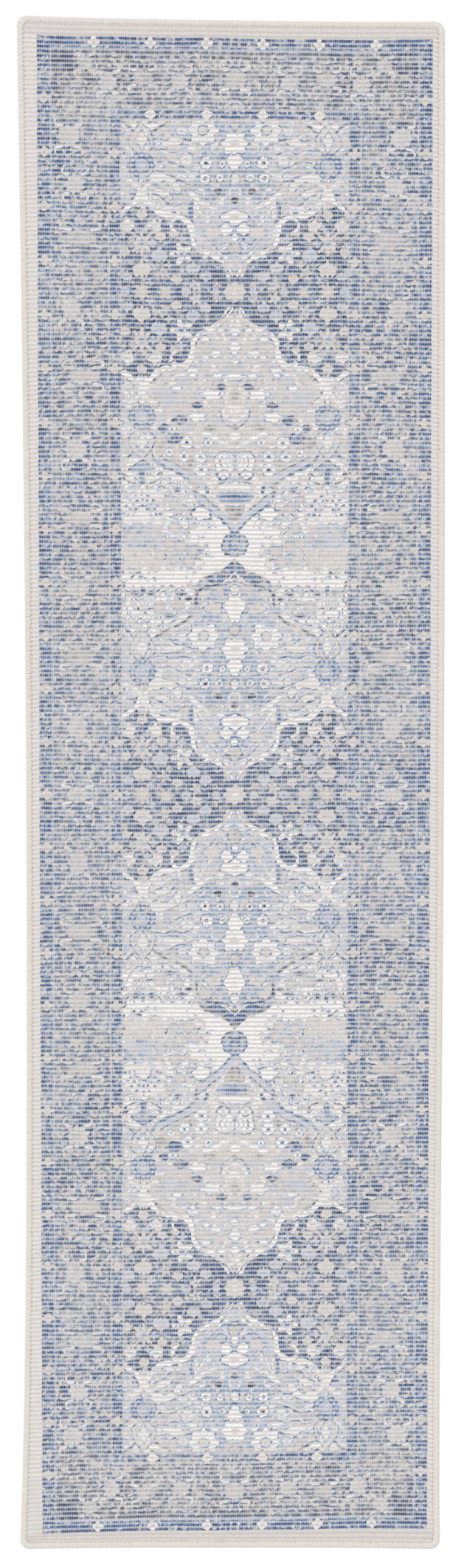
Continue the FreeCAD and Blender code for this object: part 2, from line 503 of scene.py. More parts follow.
def daisy(canvas, u, v, radius):
    """A big white bloom of eight petals with fine blue veins."""
    flower(canvas, u, v, radius, radius, WHITE, 8, 0.14, BLUE)
    for number in range(16):
        angle = TURN * number / 16
        inner = (u + 0.42 * radius * math.cos(angle), v + 0.42 * radius * math.sin(angle))
        outer = (u + 0.86 * radius * math.cos(angle), v + 0.86 * radius * math.sin(angle))
        stroke(canvas, [inner, outer], 0.9, LILAC)
    flower(canvas, u, v, 0.32 * radius, 0.3 * radius, BEIGE, 8, 0.1, BLUE)


def blue_medallion(half):
    """The lilac-blue medallion: a white vase below, sprigs, and white blooms above."""
    for u, distance, radius_u, radius_v in ((30, 236, 30, 44), (34, 170, 34, 26), (20, 330, 40, 16)):
        half.flower(u, distance, radius_u, radius_v, SKY, 5, 0.12)
    outline = half.placed([(0, 30)] + LOWER_OUTLINE + BLUE_MEDALLION_TOP)
    core = half.placed([(0, 60), (60, 80), (66, 160), (72, 236), (56, 300), (0, 350)])
    low, high = half.span(30, 372)
    curls(half.canvas, (4, COLUMN_AXIS, low, high), 15, 65, (BEIGE, IVORY, BEIGE, STONE), SKY, 6.5,
          lambda u, v: within(outline, u, v) and not within(core, u, v))
    curls(half.canvas, (4, 76, low, high), 14, 66, (LILAC, IVORY, LILAC, BEIGE), SKY, 4.6,
          lambda u, v: within(core, u, v))
    side_low, side_high = half.span(140, 250)
    curls(half.canvas, (152, FIELD, side_low, side_high), 14, 67, (BEIGE, IVORY, LILAC), SKY, 5.0)
    for points in (
        [(140, 178), (126, 168), (112, 172), (100, 164), (90, 152), (84, 160), (90, 174), (104, 182),
         (122, 188)],
        [(138, 232), (124, 240), (108, 236), (94, 246), (80, 240), (84, 230), (98, 226), (116, 226)],
        [(128, 152), (114, 146), (104, 152), (112, 160), (124, 162)],
    ):
        half.region(points, IVORY)
        half.stroke(points, 1.4, BLUE)
    # The vase and its three white lobes
    half.flower(0, 116, 19, 13, WHITE, 3, 0.16, BLUE, BEIGE)
    half.flower(14, 98, 10, 9, WHITE, 4, 0.12, BLUE)
    half.flower(0, 84, 5, 8, WHITE, 3, 0.1, BLUE)
    half.flower(0, 66, 10, 10, STONE, 5, 0.12, BLUE)
    half.flower(22, 82, 8, 6, LILAC, 5, 0.14, BLUE)
    half.flower(36, 92, 12, 9, BEIGE, 5, 0.14, SKY)
    half.stroke([(0, 62), (10, 58), (22, 62), (34, 74), (44, 84)], 1.6, BLUE)
    # White sprigs that lean inwards
    half.stroke([(70, 154), (56, 142), (44, 134), (34, 130)], 7.0, WHITE, True)
    half.stroke([(70, 160), (54, 149), (36, 137)], 1.5, BLUE)
    half.stroke([(64, 136), (56, 124), (48, 112), (38, 104)], 8.0, WHITE, True)
    half.stroke([(68, 140), (70, 126), (68, 112)], 6.0, BLUE)
    half.stroke([(62, 132), (52, 116), (42, 104)], 1.3, BLUE)
    # Dark dots
    half.flower(0, 143, 5, 6, NAVY, 3, 0.12, STONE)
    half.flower(27, 157, 6, 5, NAVY, 3, 0.12, STONE)
    # White-ringed blooms
    for u, distance, radius in ((47, 177, 8), (45, 201, 9), (24, 178, 6), (20, 200, 5)):
        half.flower(u, distance, radius, radius, WHITE, 7, 0.12, BLUE, NAVY)
    # The tall white palmette on the axis
    half.flower(0, 176, 6, 9, IVORY, 3, 0.1, BLUE)
    half.flower(0, 206, 11, 15, WHITE, 5, 0.12, BLUE)
    half.flower(0, 232, 19, 17, WHITE, 7, 0.14, BLUE, BEIGE)
    half.flower(0, 262, 7, 7, STONE, 5, 0.14, BLUE)
    half.flower(0, 300, 15, 23, WHITE, 5, 0.14, BLUE, IVORY)
    half.flower(0, 326, 7, 7, IVORY, 5, 0.12, BLUE)
    daisy(half.canvas, 50, half.at(252), 22)
    half.flower(34, 296, 13, 10, BEIGE, 5, 0.2, BLUE, STONE)
    half.flower(48, 318, 9, 9, BEIGE, 5, 0.2, BLUE)
    for u, distance, radius in ((76, 206, 10), (122, 196, 9), (84, 250, 8), (124, 232, 7), (84, 180, 7)):
        half.flower(u, distance, radius, radius * 0.8, IVORY, 6, 0.18, SKY, LILAC)
    for vine in (
        [(72, 168), (86, 174), (98, 168), (104, 156), (96, 146)],
        [(70, 190), (88, 196), (104, 204), (122, 202)],
        [(66, 214), (82, 220), (98, 216), (112, 222), (128, 220)],
        [(80, 140), (92, 134), (106, 138), (116, 148), (128, 152)],
        [(66, 232), (78, 238), (92, 240), (104, 248)],
        [(20, 276), (36, 278), (50, 284), (58, 300)],
    ):
        half.stroke(vine, 2.0, BLUE)
        half.stroke([(u + 2, d - 3) for u, d in vine], 1.6, IVORY)
    # The dark crown on top
    half.region([(0, 338), (8, 346), (18, 338), (40, 337), (42, 349), (22, 351), (12, 364),
                           (0, 374)], TAUPE)
    for u, distance, radius_u, radius_v in ((28, 343, 13, 6), (6, 356, 8, 9)):
        half.flower(u, distance, radius_u, radius_v, BLUE, 4, 0.1, NAVY)
    half.stroke([(8, 336), (28, 333), (48, 329), (60, 321), (62, 300)], 3.2, NAVY)
    half.stroke([(0, 353), (9, 344), (22, 335)], 2.6, IVORY)
    half.blooms(SKY, LILAC, 5, ((36, 283, 14, 6), (66, 292, 10, 4), (30, 312, 12, 5), (58, 272, 9, 4)))


def beige_medallion(half):
    """The stone-coloured medallion: lilies, white butterfly, ringed blooms, shield and cup."""
    outline = half.placed([(0, 30)] + LOWER_OUTLINE + BEIGE_MEDALLION_TOP)
    low, high = half.span(30, 380)
    for band in (
        [(118, 150), (92, 168), (66, 178), (44, 172)],
        [(8, 112), (34, 118), (62, 104)],
        [(96, 192), (74, 210), (50, 212)],
        [(132, 186), (112, 208), (92, 222)],
        [(20, 176), (34, 196), (30, 214)],
        [(98, 128), (78, 146), (52, 148)],
    ):
        half.stroke(band, 11.0, LILAC, True)
    for band in (
        [(136, 236), (118, 240), (96, 232), (86, 244)],
        [(112, 258), (90, 262), (70, 276)],
        [(124, 170), (112, 184), (118, 198)],
        [(24, 150), (44, 140), (70, 134)],
        [(44, 250), (66, 246), (70, 226)],
    ):
        half.stroke(band, 10.0, TAUPE, True)
    curls(half.canvas, (4, COLUMN_AXIS, low, high), 12, 68,
          (BEIGE, BEIGE, LILAC, WHITE, STONE, BEIGE), STONE, 4.2,
          lambda u, v: within(outline, u, v))
    side_low, side_high = half.span(140, 250)
    curls(half.canvas, (152, FIELD, side_low, side_high), 13, 69, (BEIGE, IVORY, LILAC), SKY, 4.4)
    # Lilac and blue patches
    half.blooms(LILAC, STONE, 5, (
        (12, 122, 9, 6), (54, 162, 13, 8), (103, 168, 16, 11), (84, 140, 10, 6), (36, 96, 9, 5),
        (62, 118, 8, 5), (120, 196, 9, 6), (30, 200, 10, 5), (120, 160, 7, 5), (76, 212, 9, 5)))
    half.blooms(BLUE, NAVY, 4, (
        (87, 202, 8, 5), (97, 230, 13, 6), (60, 178, 6, 3), (20, 148, 5, 3), (112, 214, 6, 4)))
    half.blooms(TAUPE, STONE, 4, (
        (118, 238, 10, 9), (62, 298, 9, 8), (40, 214, 8, 5), (0, 212, 5, 5), (70, 268, 5, 6)))
    # The stem, white bar, shield and lilies
    half.blooms(WHITE, SKY, 5, (
        (0, 62, 9, 5), (22, 60, 6, 3), (0, 86, 8, 10), (0, 132, 17, 4), (0, 108, 6, 5)))
    ring(half.canvas, 0, half.at(166), 15, 3.4, IVORY)
    half.flower(0, 160, 6, 9, TAUPE, 4, 0.1, STONE)
    half.stroke([(24, 186), (20, 200), (10, 209), (0, 214)], 2.2, BLUE)
    half.stroke([(17, 184), (12, 196), (0, 203)], 2.4, IVORY)
    half.blooms(WHITE, SKY, 5, (
        (38, 161, 14, 8), (60, 196, 13, 7), (30, 97, 8, 6), (66, 124, 8, 6), (46, 74, 7, 4),
        (46, 104, 5, 4), (67, 131, 5, 4), (28, 132, 7, 4), (92, 152, 7, 4), (134, 226, 8, 5)))
    # Butterfly
    half.stroke([(48, 223), (32, 228), (14, 239), (2, 243)], 8.0, WHITE, True)
    half.flower(0, 226, 8, 7, WHITE, 3, 0.15, STONE)
    half.region([(3, 254), (4, 278), (15, 282), (28, 279), (31, 262), (20, 253)], WHITE)
    for wing in (
        [(4, 253), (14, 250), (27, 253), (32, 264), (29, 279)],
        [(20, 258), (23, 266), (20, 274)],
        [(4, 282), (16, 296), (28, 291), (30, 282)],
        [(0, 297), (14, 298), (27, 303)],
        [(6, 310), (18, 309), (28, 312)],
    ):
        half.stroke(wing, 1.5, BLUE)
    for tip in (
        [(4, 252), (8, 262), (4, 272)],
        [(10, 256), (15, 266), (11, 275)],
        [(8, 286), (14, 292), (24, 292)],
    ):
        half.stroke(tip, 1.3, SKY)
    half.stroke([(0, 250), (0, 278)], 5.0, SKY)
    half.flower(18, 287, 8, 6, WHITE, 4, 0.1, BLUE, STONE)
    half.region([(0, 300), (10, 302), (25, 306), (22, 311), (0, 310)], WHITE)
    # Ringed blooms
    for u, distance, radius in ((76, 237, 9), (81, 259, 8), (54, 259, 9), (54, 280, 10), (42, 236, 6),
                                (103, 252, 6), (100, 216, 6)):
        half.flower(u, distance, radius, radius, WHITE, 8, 0.08, SKY, BLUE)
    # Cup at the top, and the lilac bands on both sides of it
    for line, width, colour in (
        ([(120, 264), (102, 273), (84, 281), (66, 290), (54, 300)], 12.0, LILAC),
        ([(62, 317), (50, 326), (38, 338), (22, 350), (8, 366), (0, 374)], 12.0, LILAC),
        ([(122, 268), (106, 277), (88, 286), (72, 295)], 3.4, BLUE),
        ([(56, 330), (44, 341), (28, 352), (14, 366), (2, 378)], 3.4, BLUE),
        ([(118, 259), (100, 268), (82, 276), (62, 286)], 1.6, NAVY),
        ([(66, 312), (52, 319), (38, 331), (24, 342)], 1.6, NAVY),
        ([(58, 306), (63, 314), (60, 325)], 1.6, NAVY),
        ([(34, 318), (26, 332), (14, 346), (2, 356)], 3.0, IVORY),
    ):
        half.stroke(line, width, colour)
    half.region([(0, 314), (16, 314), (29, 318), (28, 326), (14, 331), (0, 332)], SKY)
    half.flower(0, 322, 20, 4, BLUE, 4, 0.1)
    half.region([(0, 335), (14, 335), (16, 342), (6, 358), (0, 362)], TAUPE)


def ivory_garden(half, pinch):
    """Blue line drawing on the ivory ground round the small blue rosette."""
    outline = half.placed([(30, 396), (66, 338), (64, 286), (110, 264), (132, 252), (147, 232), (180, 262),
                      (180, 540), (147, 556), (120, 530), (66, 500), (48, 470), (36, 430)])
    low, high = half.span(250, 540)
    for gap, seed, colours, edge, width in (
        (16, 70, (IVORY, WHITE, BEIGE), BLUE, 4.4),
        (22, 71, (STONE, BEIGE, LILAC), IVORY, 4.0),
        (17, 75, (BLUE, NAVY, BLUE), WHITE, 1.9),
    ):
        curls(half.canvas, (44, FIELD, low, high), gap, seed, colours, edge, width,
              lambda u, v: within(outline, u, v))
    # Lilac patch, beige patch and the fan above them at the field's side
    for low_d, high_d, colours in (
        (pinch - 3, pinch + 33, (LILAC, STONE, SKY)),
        (pinch - 34, pinch - 8, (BEIGE, STONE, BEIGE)),
        (pinch + 38, pinch + 82, (IVORY, LILAC, IVORY)),
    ):
        low, high = half.span(low_d, high_d)
        curls(half.canvas, (117, FIELD - 5, low, high), 8, 72, colours, colours[0], 6.0)
    for number in range(9):
        angle = math.pi * (number + 0.5) / 9
        for reach in (14, 22, 29):
            u = COLUMN_AXIS + reach * math.cos(angle)
            half.flower(u, pinch + 42 + 1.3 * reach * math.sin(angle), 2.2, 2.2, BLUE, 4, 0.1)
    # Lanterns on the column axis, towards both medallions
    for distance, direction in ((pinch + 122, 1), (pinch - 52, -1)):
        rim = [(126, distance - 4), (147, distance + 10), (168, distance - 4)]
        half.region(rim + [(147, distance - 9)], SKY)
        half.stroke(rim, 1.8, NAVY)
        half.stroke([(147, distance - 6), (147, distance - 24)], 8.0, BLUE)
        for side in (-1, 1):
            leaf = [(147 + side * 12, distance - 26), (147 + side * 26, distance - 20),
                    (147 + side * 30, distance - 8), (147 + side * 22, distance - 14)]
            half.stroke(leaf, 1.8, NAVY)
            curve = [(147 + side * 8, distance + 34 * direction),
                     (147 + side * 24, distance + 6 * direction),
                     (147 + side * 34, distance - 30 * direction)]
            half.stroke(curve, 1.6, STONE)
    half.blooms(NAVY, LILAC, 4, (
        (158, pinch - 76, 6, 3), (133, pinch - 76, 6, 3), (85, pinch - 78, 7, 3), (73, pinch - 86, 5, 3),
        (37, pinch + 12, 1.5, 4), (92, pinch + 86, 5, 3), (104, pinch - 112, 9, 3)))
    # Grey discs in blue outlines
    for u, beyond, radius in (
        (95, 27, 9), (65, 25, 9), (104, 3, 8), (86, -4, 10), (66, -10, 9), (52, -1, 7), (96, -24, 8),
        (74, -27, 9), (88, 58, 9), (70, 46, 6), (104, 72, 7), (110, -62, 8), (90, -96, 8), (120, -98, 9),
    ):
        half.flower(u, pinch + beyond, radius, radius * 0.85, STONE, 7, 0.14, SKY, BEIGE)
    # White clearings and the rosette
    low, high = half.span(pinch + 6, pinch + 20)
    curls(half.canvas, (0, 66, low, high), 10, 73, (WHITE,), WHITE, 8.0)
    low, high = half.span(pinch - 60, pinch - 46)
    curls(half.canvas, (52, FIELD, low, high), 11, 74, (WHITE,), WHITE, 7.0)
    half.region([(0, pinch - 26), (20, pinch - 26), (40, pinch - 8), (38, pinch + 14), (24, pinch + 26),
                           (0, pinch + 24)], WHITE)
    half.flower(53, pinch + 49, 14, 10, WHITE, 5, 0.12, BLUE)
    half.flower(0, pinch, 19, 18, SKY, 14, 0.05, NAVY)
    middle = half.at(pinch)
    curls(half.canvas, (1, 15, middle - 14, middle + 15), 6, 76, (BLUE, NAVY, LILAC), SKY, 1.8,
          lambda u, v: math.hypot(u, v - middle) < 15)
    ring(half.canvas, 0, middle, 8, 1.6, NAVY)


def palmette(canvas, u, v, radius_u, radius_v, colour):
    """A border bloom: a lobed disc in a dark collar, with veins and two pairs of curled leaves."""
    flower(canvas, u, v, radius_u + 4, radius_v + 4, NAVY, 9, 0.08)
    flower(canvas, u, v, radius_u, radius_v, colour, 9, 0.12, BLUE, STONE)
    for number in range(9):
        angle = TURN * (number + 0.5) / 9
        inner = (u + 0.45 * radius_u * math.cos(angle), v + 0.45 * radius_v * math.sin(angle))
        outer = (u + 0.85 * radius_u * math.cos(angle), v + 0.85 * radius_v * math.sin(angle))
        stroke(canvas, [inner, outer], 1.1, SKY)
    for side in (-1, 1):
        for end in (-1, 1):
            leaf = [(u + side * 0.7 * radius_u, v + end * radius_v),
                    (u + side * 1.3 * radius_u, v + end * 1.2 * radius_v),
                    (u + side * 1.2 * radius_u, v + end * 1.8 * radius_v),
                    (u + side * 0.6 * radius_u, v + end * 1.9 * radius_v)]
            stroke(canvas, leaf, 8.0, NAVY, True)
            stroke(canvas, leaf, 5.6, IVORY, True)


SIDE_PALMETTES = ((250, 0, 18, 12), (250, 108, 15, 20), (246, 220, 24, 12), (250, 330, 18, 15),
                  (245, 440, 25, 11), (252, 548, 17, 17), (240, 662, 24, 13), (258, 768, 14, 18),
                  (244, 879, 24, 12), (252, 962, 15, 15), (262, 1036, 16, 16))
END_PALMETTES = ((0, 1126, 17, 15), (87, 1122, 14, 13), (145, 1128, 16, 12), (200, 1120, 13, 15),
                 (236, 1150, 12, 12))


def border(canvas):
    """The main border: curled leaves all over, a winding stem, and a row of palmettes."""
    side = (MAIN_BORDER + 4, OUTER_GUARD - 2, 0, END_MAIN_BORDER + 40)
    end = (0, OUTER_GUARD - 2, END_MAIN_BORDER + 4, END_OUTER_GUARD - 2)
    curls(canvas, side, 12.5, 61, (BEIGE, LILAC, BEIGE, STONE, SKY), NAVY, 5.2)
    curls(canvas, end, 12.5, 62, (BEIGE, STONE, BEIGE, TAUPE, LILAC), NAVY, 5.2)
    middle = (MAIN_BORDER + OUTER_GUARD) / 2
    stem = [(middle + 30 * math.sin(TURN * v / (2 * PALMETTE_SPACING)), v)
            for v in np.arange(0, END_OUTER_GUARD, PALMETTE_SPACING / 5)]
    stroke(canvas, stem, 3.6, NAVY)
    stroke(canvas, stem, 1.8, BEIGE)
    for u, v, radius_u, radius_v in SIDE_PALMETTES:
        palmette(canvas, u, v, radius_u, radius_v, STONE if radius_u > 20 else BEIGE)
    for u, v, radius_u, radius_v in END_PALMETTES:
        palmette(canvas, u, v, radius_u, radius_v, STONE if radius_u > 15 else BEIGE)


def guards(canvas):
    """The narrow stripes on both sides of the main border: uneven blue blocks between rosettes."""
    side = (OUTER_GUARD, PRINT_HALF_WIDTH, 0, PRINT_HALF_LENGTH)
    inner_side = (FIELD, MAIN_BORDER, 0, END_MAIN_BORDER)
    end = (0, PRINT_HALF_WIDTH, END_OUTER_GUARD, PRINT_HALF_LENGTH)
    inner_end = (0, MAIN_BORDER, END_FIELD, END_MAIN_BORDER)
    for number, (low_u, high_u, low_v, high_v) in enumerate((side, inner_side, end, inner_end)):
        block(canvas, low_u, high_u + 1, low_v, high_v + 1, NIGHT)
        curls(canvas, (low_u + 3, high_u - 2, low_v + 3, high_v - 2), 8.5, 80 + number,
              (SKY, LILAC, BLUE, BEIGE), BLUE, 2.6)
    for number in range(14):
        v = GUARD_SPACING * number
        for u in ((OUTER_GUARD + PRINT_HALF_WIDTH) / 2, (FIELD + MAIN_BORDER) / 2):
            if u < MAIN_BORDER and v > END_FIELD:
                continue
            flower(canvas, u, v, 10, 7, BEIGE, 4, 0.3, NAVY, STONE)
    for number in range(3):
        u = (number + 0.5) * (GUARD_SPACING + 4.5)
        flower(canvas, u, (END_OUTER_GUARD + PRINT_HALF_LENGTH) / 2, 8, 9, IVORY, 4, 0.2, NAVY, STONE)
        if u < MAIN_BORDER:
            flower(canvas, u, (END_FIELD + END_MAIN_BORDER) / 2, 8, 9, IVORY, 4, 0.2, NAVY, STONE)
    for inset_u, inset_v, colour in (
        (OUTER_GUARD, END_OUTER_GUARD, LILAC),
        (MAIN_BORDER, END_MAIN_BORDER, BEIGE),
    ):
        block(canvas, inset_u - 1.5, inset_u + 1.5, 0, inset_v, colour, 0.8)
        block(canvas, 0, inset_u, inset_v - 1.5, inset_v + 1.5, colour, 0.8)
    block(canvas, FIELD - 1.5, FIELD + 1.5, 0, END_FIELD, BEIGE, 0.7)
    block(canvas, 0, FIELD, END_FIELD - 2, END_FIELD + 1, BEIGE)


def mottle(canvas, u, v):
    """Small clouds of the neighbouring colours in the pale and in the blue grounds of the field."""
    everywhere = (slice(None), slice(None))
    brightness = canvas.mean(-1)
    pale = smooth_step(brightness, 0.70, 0.76) * (1 - 0.8 * smooth_step(brightness, 0.92, 0.97))
    ground = smooth_step(0.76 - brightness, 0, 0.06)
    for colour, share, seed in ((LILAC, 0.65, 91), (TAUPE, 0.60, 92), (SKY, 0.3, 94), (WHITE, 0.85, 93)):
        cloud = smooth_step(patchy(u, v, 7, 4, seed), 0.60, 0.74)
        lay(canvas, everywhere, share * cloud * pale, colour)
    for colour, share, seed in ((SKY, 0.6, 95), (NAVY, 0.6, 96)):
        cloud = smooth_step(patchy(u, v, 8, 4, seed), 0.60, 0.74)
        lay(canvas, everywhere, share * cloud * ground, colour)


def draw_print():
    """The whole print, as screen colours on the quarter canvas."""
    canvas = np.empty((ROWS, COLUMNS, 3))
    canvas[:] = NIGHT
    v, u = np.mgrid[0:ROWS, 0:COLUMNS] * CELL
    everywhere = (slice(None), slice(None))

    # Field: blue ground round the pinches, ivory between them
    for origin in (0, REPEAT):
        for sign in (-1, 1):
            Half(canvas, origin, sign).region(IVORY_GROUND, WHITE, smooth=False)
    first_blue = Half(canvas, 0, 1)
    second_blue = Half(canvas, REPEAT, 1)
    beige = Half(canvas, REPEAT, -1)
    halves = (first_blue, second_blue, beige)
    medallion(first_blue, BLUE_MEDALLION_TOP, LILAC)
    medallion(second_blue, BLUE_MEDALLION_TOP, LILAC)
    medallion(beige, BEIGE_MEDALLION_TOP, BEIGE)
    mottle(canvas, u, v)
    for half in halves:
        blue_garden(half)
    ivory_garden(first_blue, REPEAT / 2)
    medallion_edges(first_blue, BLUE_MEDALLION_TOP, TAUPE)
    medallion_edges(second_blue, BLUE_MEDALLION_TOP, TAUPE)
    medallion_edges(beige, BEIGE_MEDALLION_TOP, SKY)
    blue_medallion(first_blue)
    blue_medallion(second_blue)
    beige_medallion(beige)
    for half in halves:
        column_rosette(half)
    for origin in (0, REPEAT):
        blue_pinch(canvas, origin)

    # Border ground: faded blue that turns greyer in places, then its drawing
    in_border = ((u > FIELD) | (v > END_FIELD)).astype(float)
    lay(canvas, everywhere, in_border, NIGHT)
    at_end = in_border * smooth_step(v, 1010, 1110)
    lay(canvas, everywhere, 0.6 * at_end, SLATE)
    border(canvas)
    grey = smooth_step(cloudy(u, v, 60, 90, 21), 0.42, 0.62) * in_border
    lay(canvas, everywhere, 0.26 * grey, TAUPE)
    pale = smooth_step(cloudy(u, v, 50, 60, 24), 0.48, 0.66) * in_border
    lay(canvas, everywhere, 0.26 * pale, LILAC)
    block(canvas, *CORNER_BLOCK, NAVY, 0.65)
    guards(canvas)
    return canvas


def sampled(canvas, u, v):
    """Canvas colours at any places, blended between the four nearest cells."""
    column = np.clip(u / CELL, 0, COLUMNS - 1.001)
    row = np.clip(v / CELL, 0, ROWS - 1.001)
    left = column.astype(int)
    low = row.astype(int)
    share_x = (column - left)[..., None]
    share_y = (row - low)[..., None]
    bottom = canvas[low, left] * (1 - share_x) + canvas[low, left + 1] * share_x
    top = canvas[low + 1, left] * (1 - share_x) + canvas[low + 1, left + 1] * share_x
    return bottom * (1 - share_y) + top * share_y


def print_colour(canvas, x, y):
    """The linear colour of the printed yarn at world x and rib-aligned y, with its wear, and how
    much darker than bare yarn the ink there is."""
    across = (x - PRINT_AXIS) / MM
    along = y / MM
    jog = 3.4 * (patchy(across, along, 4, 5, 31) - 0.5)
    colour = sampled(canvas, np.abs(across + jog), np.abs(along + 0.6 * jog))
    rib = np.round(along / (RIB_PITCH / MM))

    # Places where the ink missed the yarn, and places where it ran together
    missed = smooth_step(patchy(across, rib, 3.4, 0.9, 32), 0.56, 0.78)
    skipped = smooth_step(patchy(across, rib, 11, 0.9, 35), 0.60, 0.80)
    faint = smooth_step(cloudy(across, along, 80, 130, 33), 0.40, 0.66)
    bare = np.clip(0.38 * missed + 0.40 * skipped + 0.34 * faint * patchy(across, along, 5, 4, 36), 0, 0.85)
    colour = colour + bare[..., None] * (np.maximum(np.array(BEIGE), colour) - colour)
    heavy = smooth_step(patchy(across, rib, 4.2, 0.9, 37), 0.58, 0.88)
    inked = np.clip((0.84 - colour.mean(-1)) * 3, 0, 1)
    colour = colour + (0.5 * heavy * inked)[..., None] * (np.array(NAVY) - colour)
    rib_tone = 0.05 * (patchy(across, rib, 300, 0.9, 38) - 0.5)
    yarn_tone = 0.05 * (patchy(across, along, 3, 3, 39) - 0.5)
    colour = np.clip(colour * (0.985 + rib_tone + yarn_tone)[..., None], 0, 1)

    # Unprinted yarn outside the print's straight edge; past the ends it is painted darker, as painted shade
    # for the plain end ribs
    edge = 1.6 * (patchy(across, along, 5, 6, 40) - 0.5)
    past_end = np.abs(along) - PRINT_HALF_LENGTH
    outside = np.maximum(np.abs(across) - PRINT_HALF_WIDTH, past_end) + edge
    plain = smooth_step(outside, -0.6, 0.9)[..., None]
    foot = 1 - FOOT_SHADE * (along < FOOT_SHADE_START)
    bare_yarn = np.where((past_end > 0)[..., None], SHADED_END_YARN, YARN) * foot[..., None]
    ink = np.clip((0.95 - colour.mean(-1)) * 2.2, 0, 1) * (1 - plain[..., 0])
    return linear(colour * (1 - plain) + bare_yarn * plain), ink


# ---------------------------------------------------------------- meshes


def mesh_object(name, points, quads, smooth=True, wide=()):
    """A mesh object from an array of points, an array of four-sided faces and a list of wider ones."""
    sides = np.array([4] * len(quads) + [len(face) for face in wide])
    corners = np.concatenate([quads.ravel(), *wide])
    mesh = bpy.data.meshes.new(name)
    mesh.vertices.add(len(points))
    mesh.vertices.foreach_set("co", np.ascontiguousarray(points, np.float32).ravel())
    mesh.loops.add(len(corners))
    mesh.loops.foreach_set("vertex_index", corners.astype(np.int32))
    mesh.polygons.add(len(sides))
    mesh.polygons.foreach_set("loop_start", (np.cumsum(sides) - sides).astype(np.int32))
    mesh.update(calc_edges=True)
    mesh.validate()
    mesh.polygons.foreach_set("use_smooth", np.full(len(sides), smooth))
    obj = bpy.data.objects.new(name, mesh)
    bpy.context.scene.collection.objects.link(obj)
    return obj


def sharpen_rim(obj, rows, columns):
    """Keeps the shading of a slab's top free of its upright walls, so that lengths meet unseen."""
    ends = np.empty(2 * len(obj.data.edges), np.int32)
    obj.data.edges.foreach_get("vertices", ends)
    row, column = np.divmod(ends.reshape(-1, 2), columns)
    rim = (row == 0) | (row == rows - 1) | (column == 0) | (column == columns - 1)
    sharp = (rim & (row < rows)).all(axis=1)
    attribute = obj.data.attributes.new("sharp_edge", "BOOLEAN", "EDGE")
    attribute.data.foreach_set("value", sharp)


def write_colour(obj, name, colours):
    """Stores a colour at every point."""
    attribute = obj.data.attributes.new(name, "FLOAT_COLOR", "POINT")
    rgba = np.ones((len(colours), 4), np.float32)
    rgba[:, :3] = colours
    attribute.data.foreach_set("color", rgba.ravel())


def write_vector(obj, name, vectors):
    """Stores a vector at every point."""
    attribute = obj.data.attributes.new(name, "FLOAT_VECTOR", "POINT")
    attribute.data.foreach_set("vector", np.ascontiguousarray(vectors, np.float32).ravel())


def grid_quads(rows, columns, offset=0):
    """Faces of a grid of points, row by row, seen from above."""
    index = np.arange(rows * columns).reshape(rows, columns) + offset
    corners = [index[:-1, :-1], index[:-1, 1:], index[1:, 1:], index[1:, :-1]]
    return np.stack(corners, axis=-1).reshape(-1, 4)


def slab_quads(rows, columns):
    """Faces of a closed slab whose top grid comes first and whose bottom grid follows."""
    count = rows * columns
    top = grid_quads(rows, columns)
    bottom = grid_quads(rows, columns, count)[:, ::-1]
    index = np.arange(count).reshape(rows, columns)
    loop = np.concatenate([index[0, :-1], index[:-1, -1], index[-1, :0:-1], index[:0:-1, 0]])
    following = np.roll(loop, -1)
    walls = np.stack([loop, loop + count, following + count, following], axis=-1)
    return np.vstack([top, bottom, walls])


def wide_bottom(rows, columns, step):
    """Large faces for the hidden bottom of a slab. Those at the rim keep every point of the rim."""
    index = np.arange(rows * columns).reshape(rows, columns)
    faces = []
    for low_row in range(0, rows - 1, step):
        for low_column in range(0, columns - 1, step):
            high_row = low_row + step
            high_column = low_column + step
            block = index[low_row:high_row + 1, low_column:high_column + 1]
            sides = ((block[0], low_row == 0), (block[:, -1], high_column == columns - 1),
                     (block[-1, ::-1], high_row == rows - 1), (block[::-1, 0], low_column == 0))
            face = np.concatenate([side[:-1] if at_rim else side[:1] for side, at_rim in sides])
            faces.append(face[::-1])
    return faces


def face_slab(rows, columns, step):
    """The faces of a slab with a fine top and a wide-meshed bottom, and the bottom points they use."""
    count = rows * columns
    bottom = wide_bottom(rows, columns, step)
    used = np.unique(np.concatenate(bottom))
    wide = [count + np.searchsorted(used, face) for face in bottom]
    index = np.arange(count).reshape(rows, columns)
    loop = np.concatenate([index[0, :-1], index[:-1, -1], index[-1, :0:-1], index[:0:-1, 0]])
    below = count + np.searchsorted(used, loop)
    walls = np.stack([loop, below, np.roll(below, -1), np.roll(loop, -1)], axis=-1)
    return np.vstack([grid_quads(rows, columns), walls]), wide, used


def rounded_corner(x, y, limit_x, limit_y, size):
    """Bends the four corners of a rectangular grid into quarter circles."""
    over_x = np.clip((np.abs(x) - (limit_x - size)) / size, 0, 1)
    over_y = np.clip((np.abs(y) - (limit_y - size)) / size, 0, 1)
    bent_x = limit_x - size + size * over_x * np.sqrt(1 - over_y ** 2 / 2)
    bent_y = limit_y - size + size * over_y * np.sqrt(1 - over_x ** 2 / 2)
    corner = (over_x > 0) & (over_y > 0)
    new_x = np.where(corner, np.sign(x) * bent_x, x)
    new_y = np.where(corner, np.sign(y) * bent_y, y)
    return new_x, new_y


def rib_wander(x, y):
    """How far the ribs stray along the rug from their straight places."""
    slow = 0.45 * np.sin(TURN * (x / 0.37 + y / 0.85)) + 0.3 * np.sin(TURN * (x / 0.16 - y / 0.43) + 1.3)
    each = 0.9 * (patchy(x, y, 0.09, RIB_PITCH, 51) - 0.5)
    return (slow + each) * MM


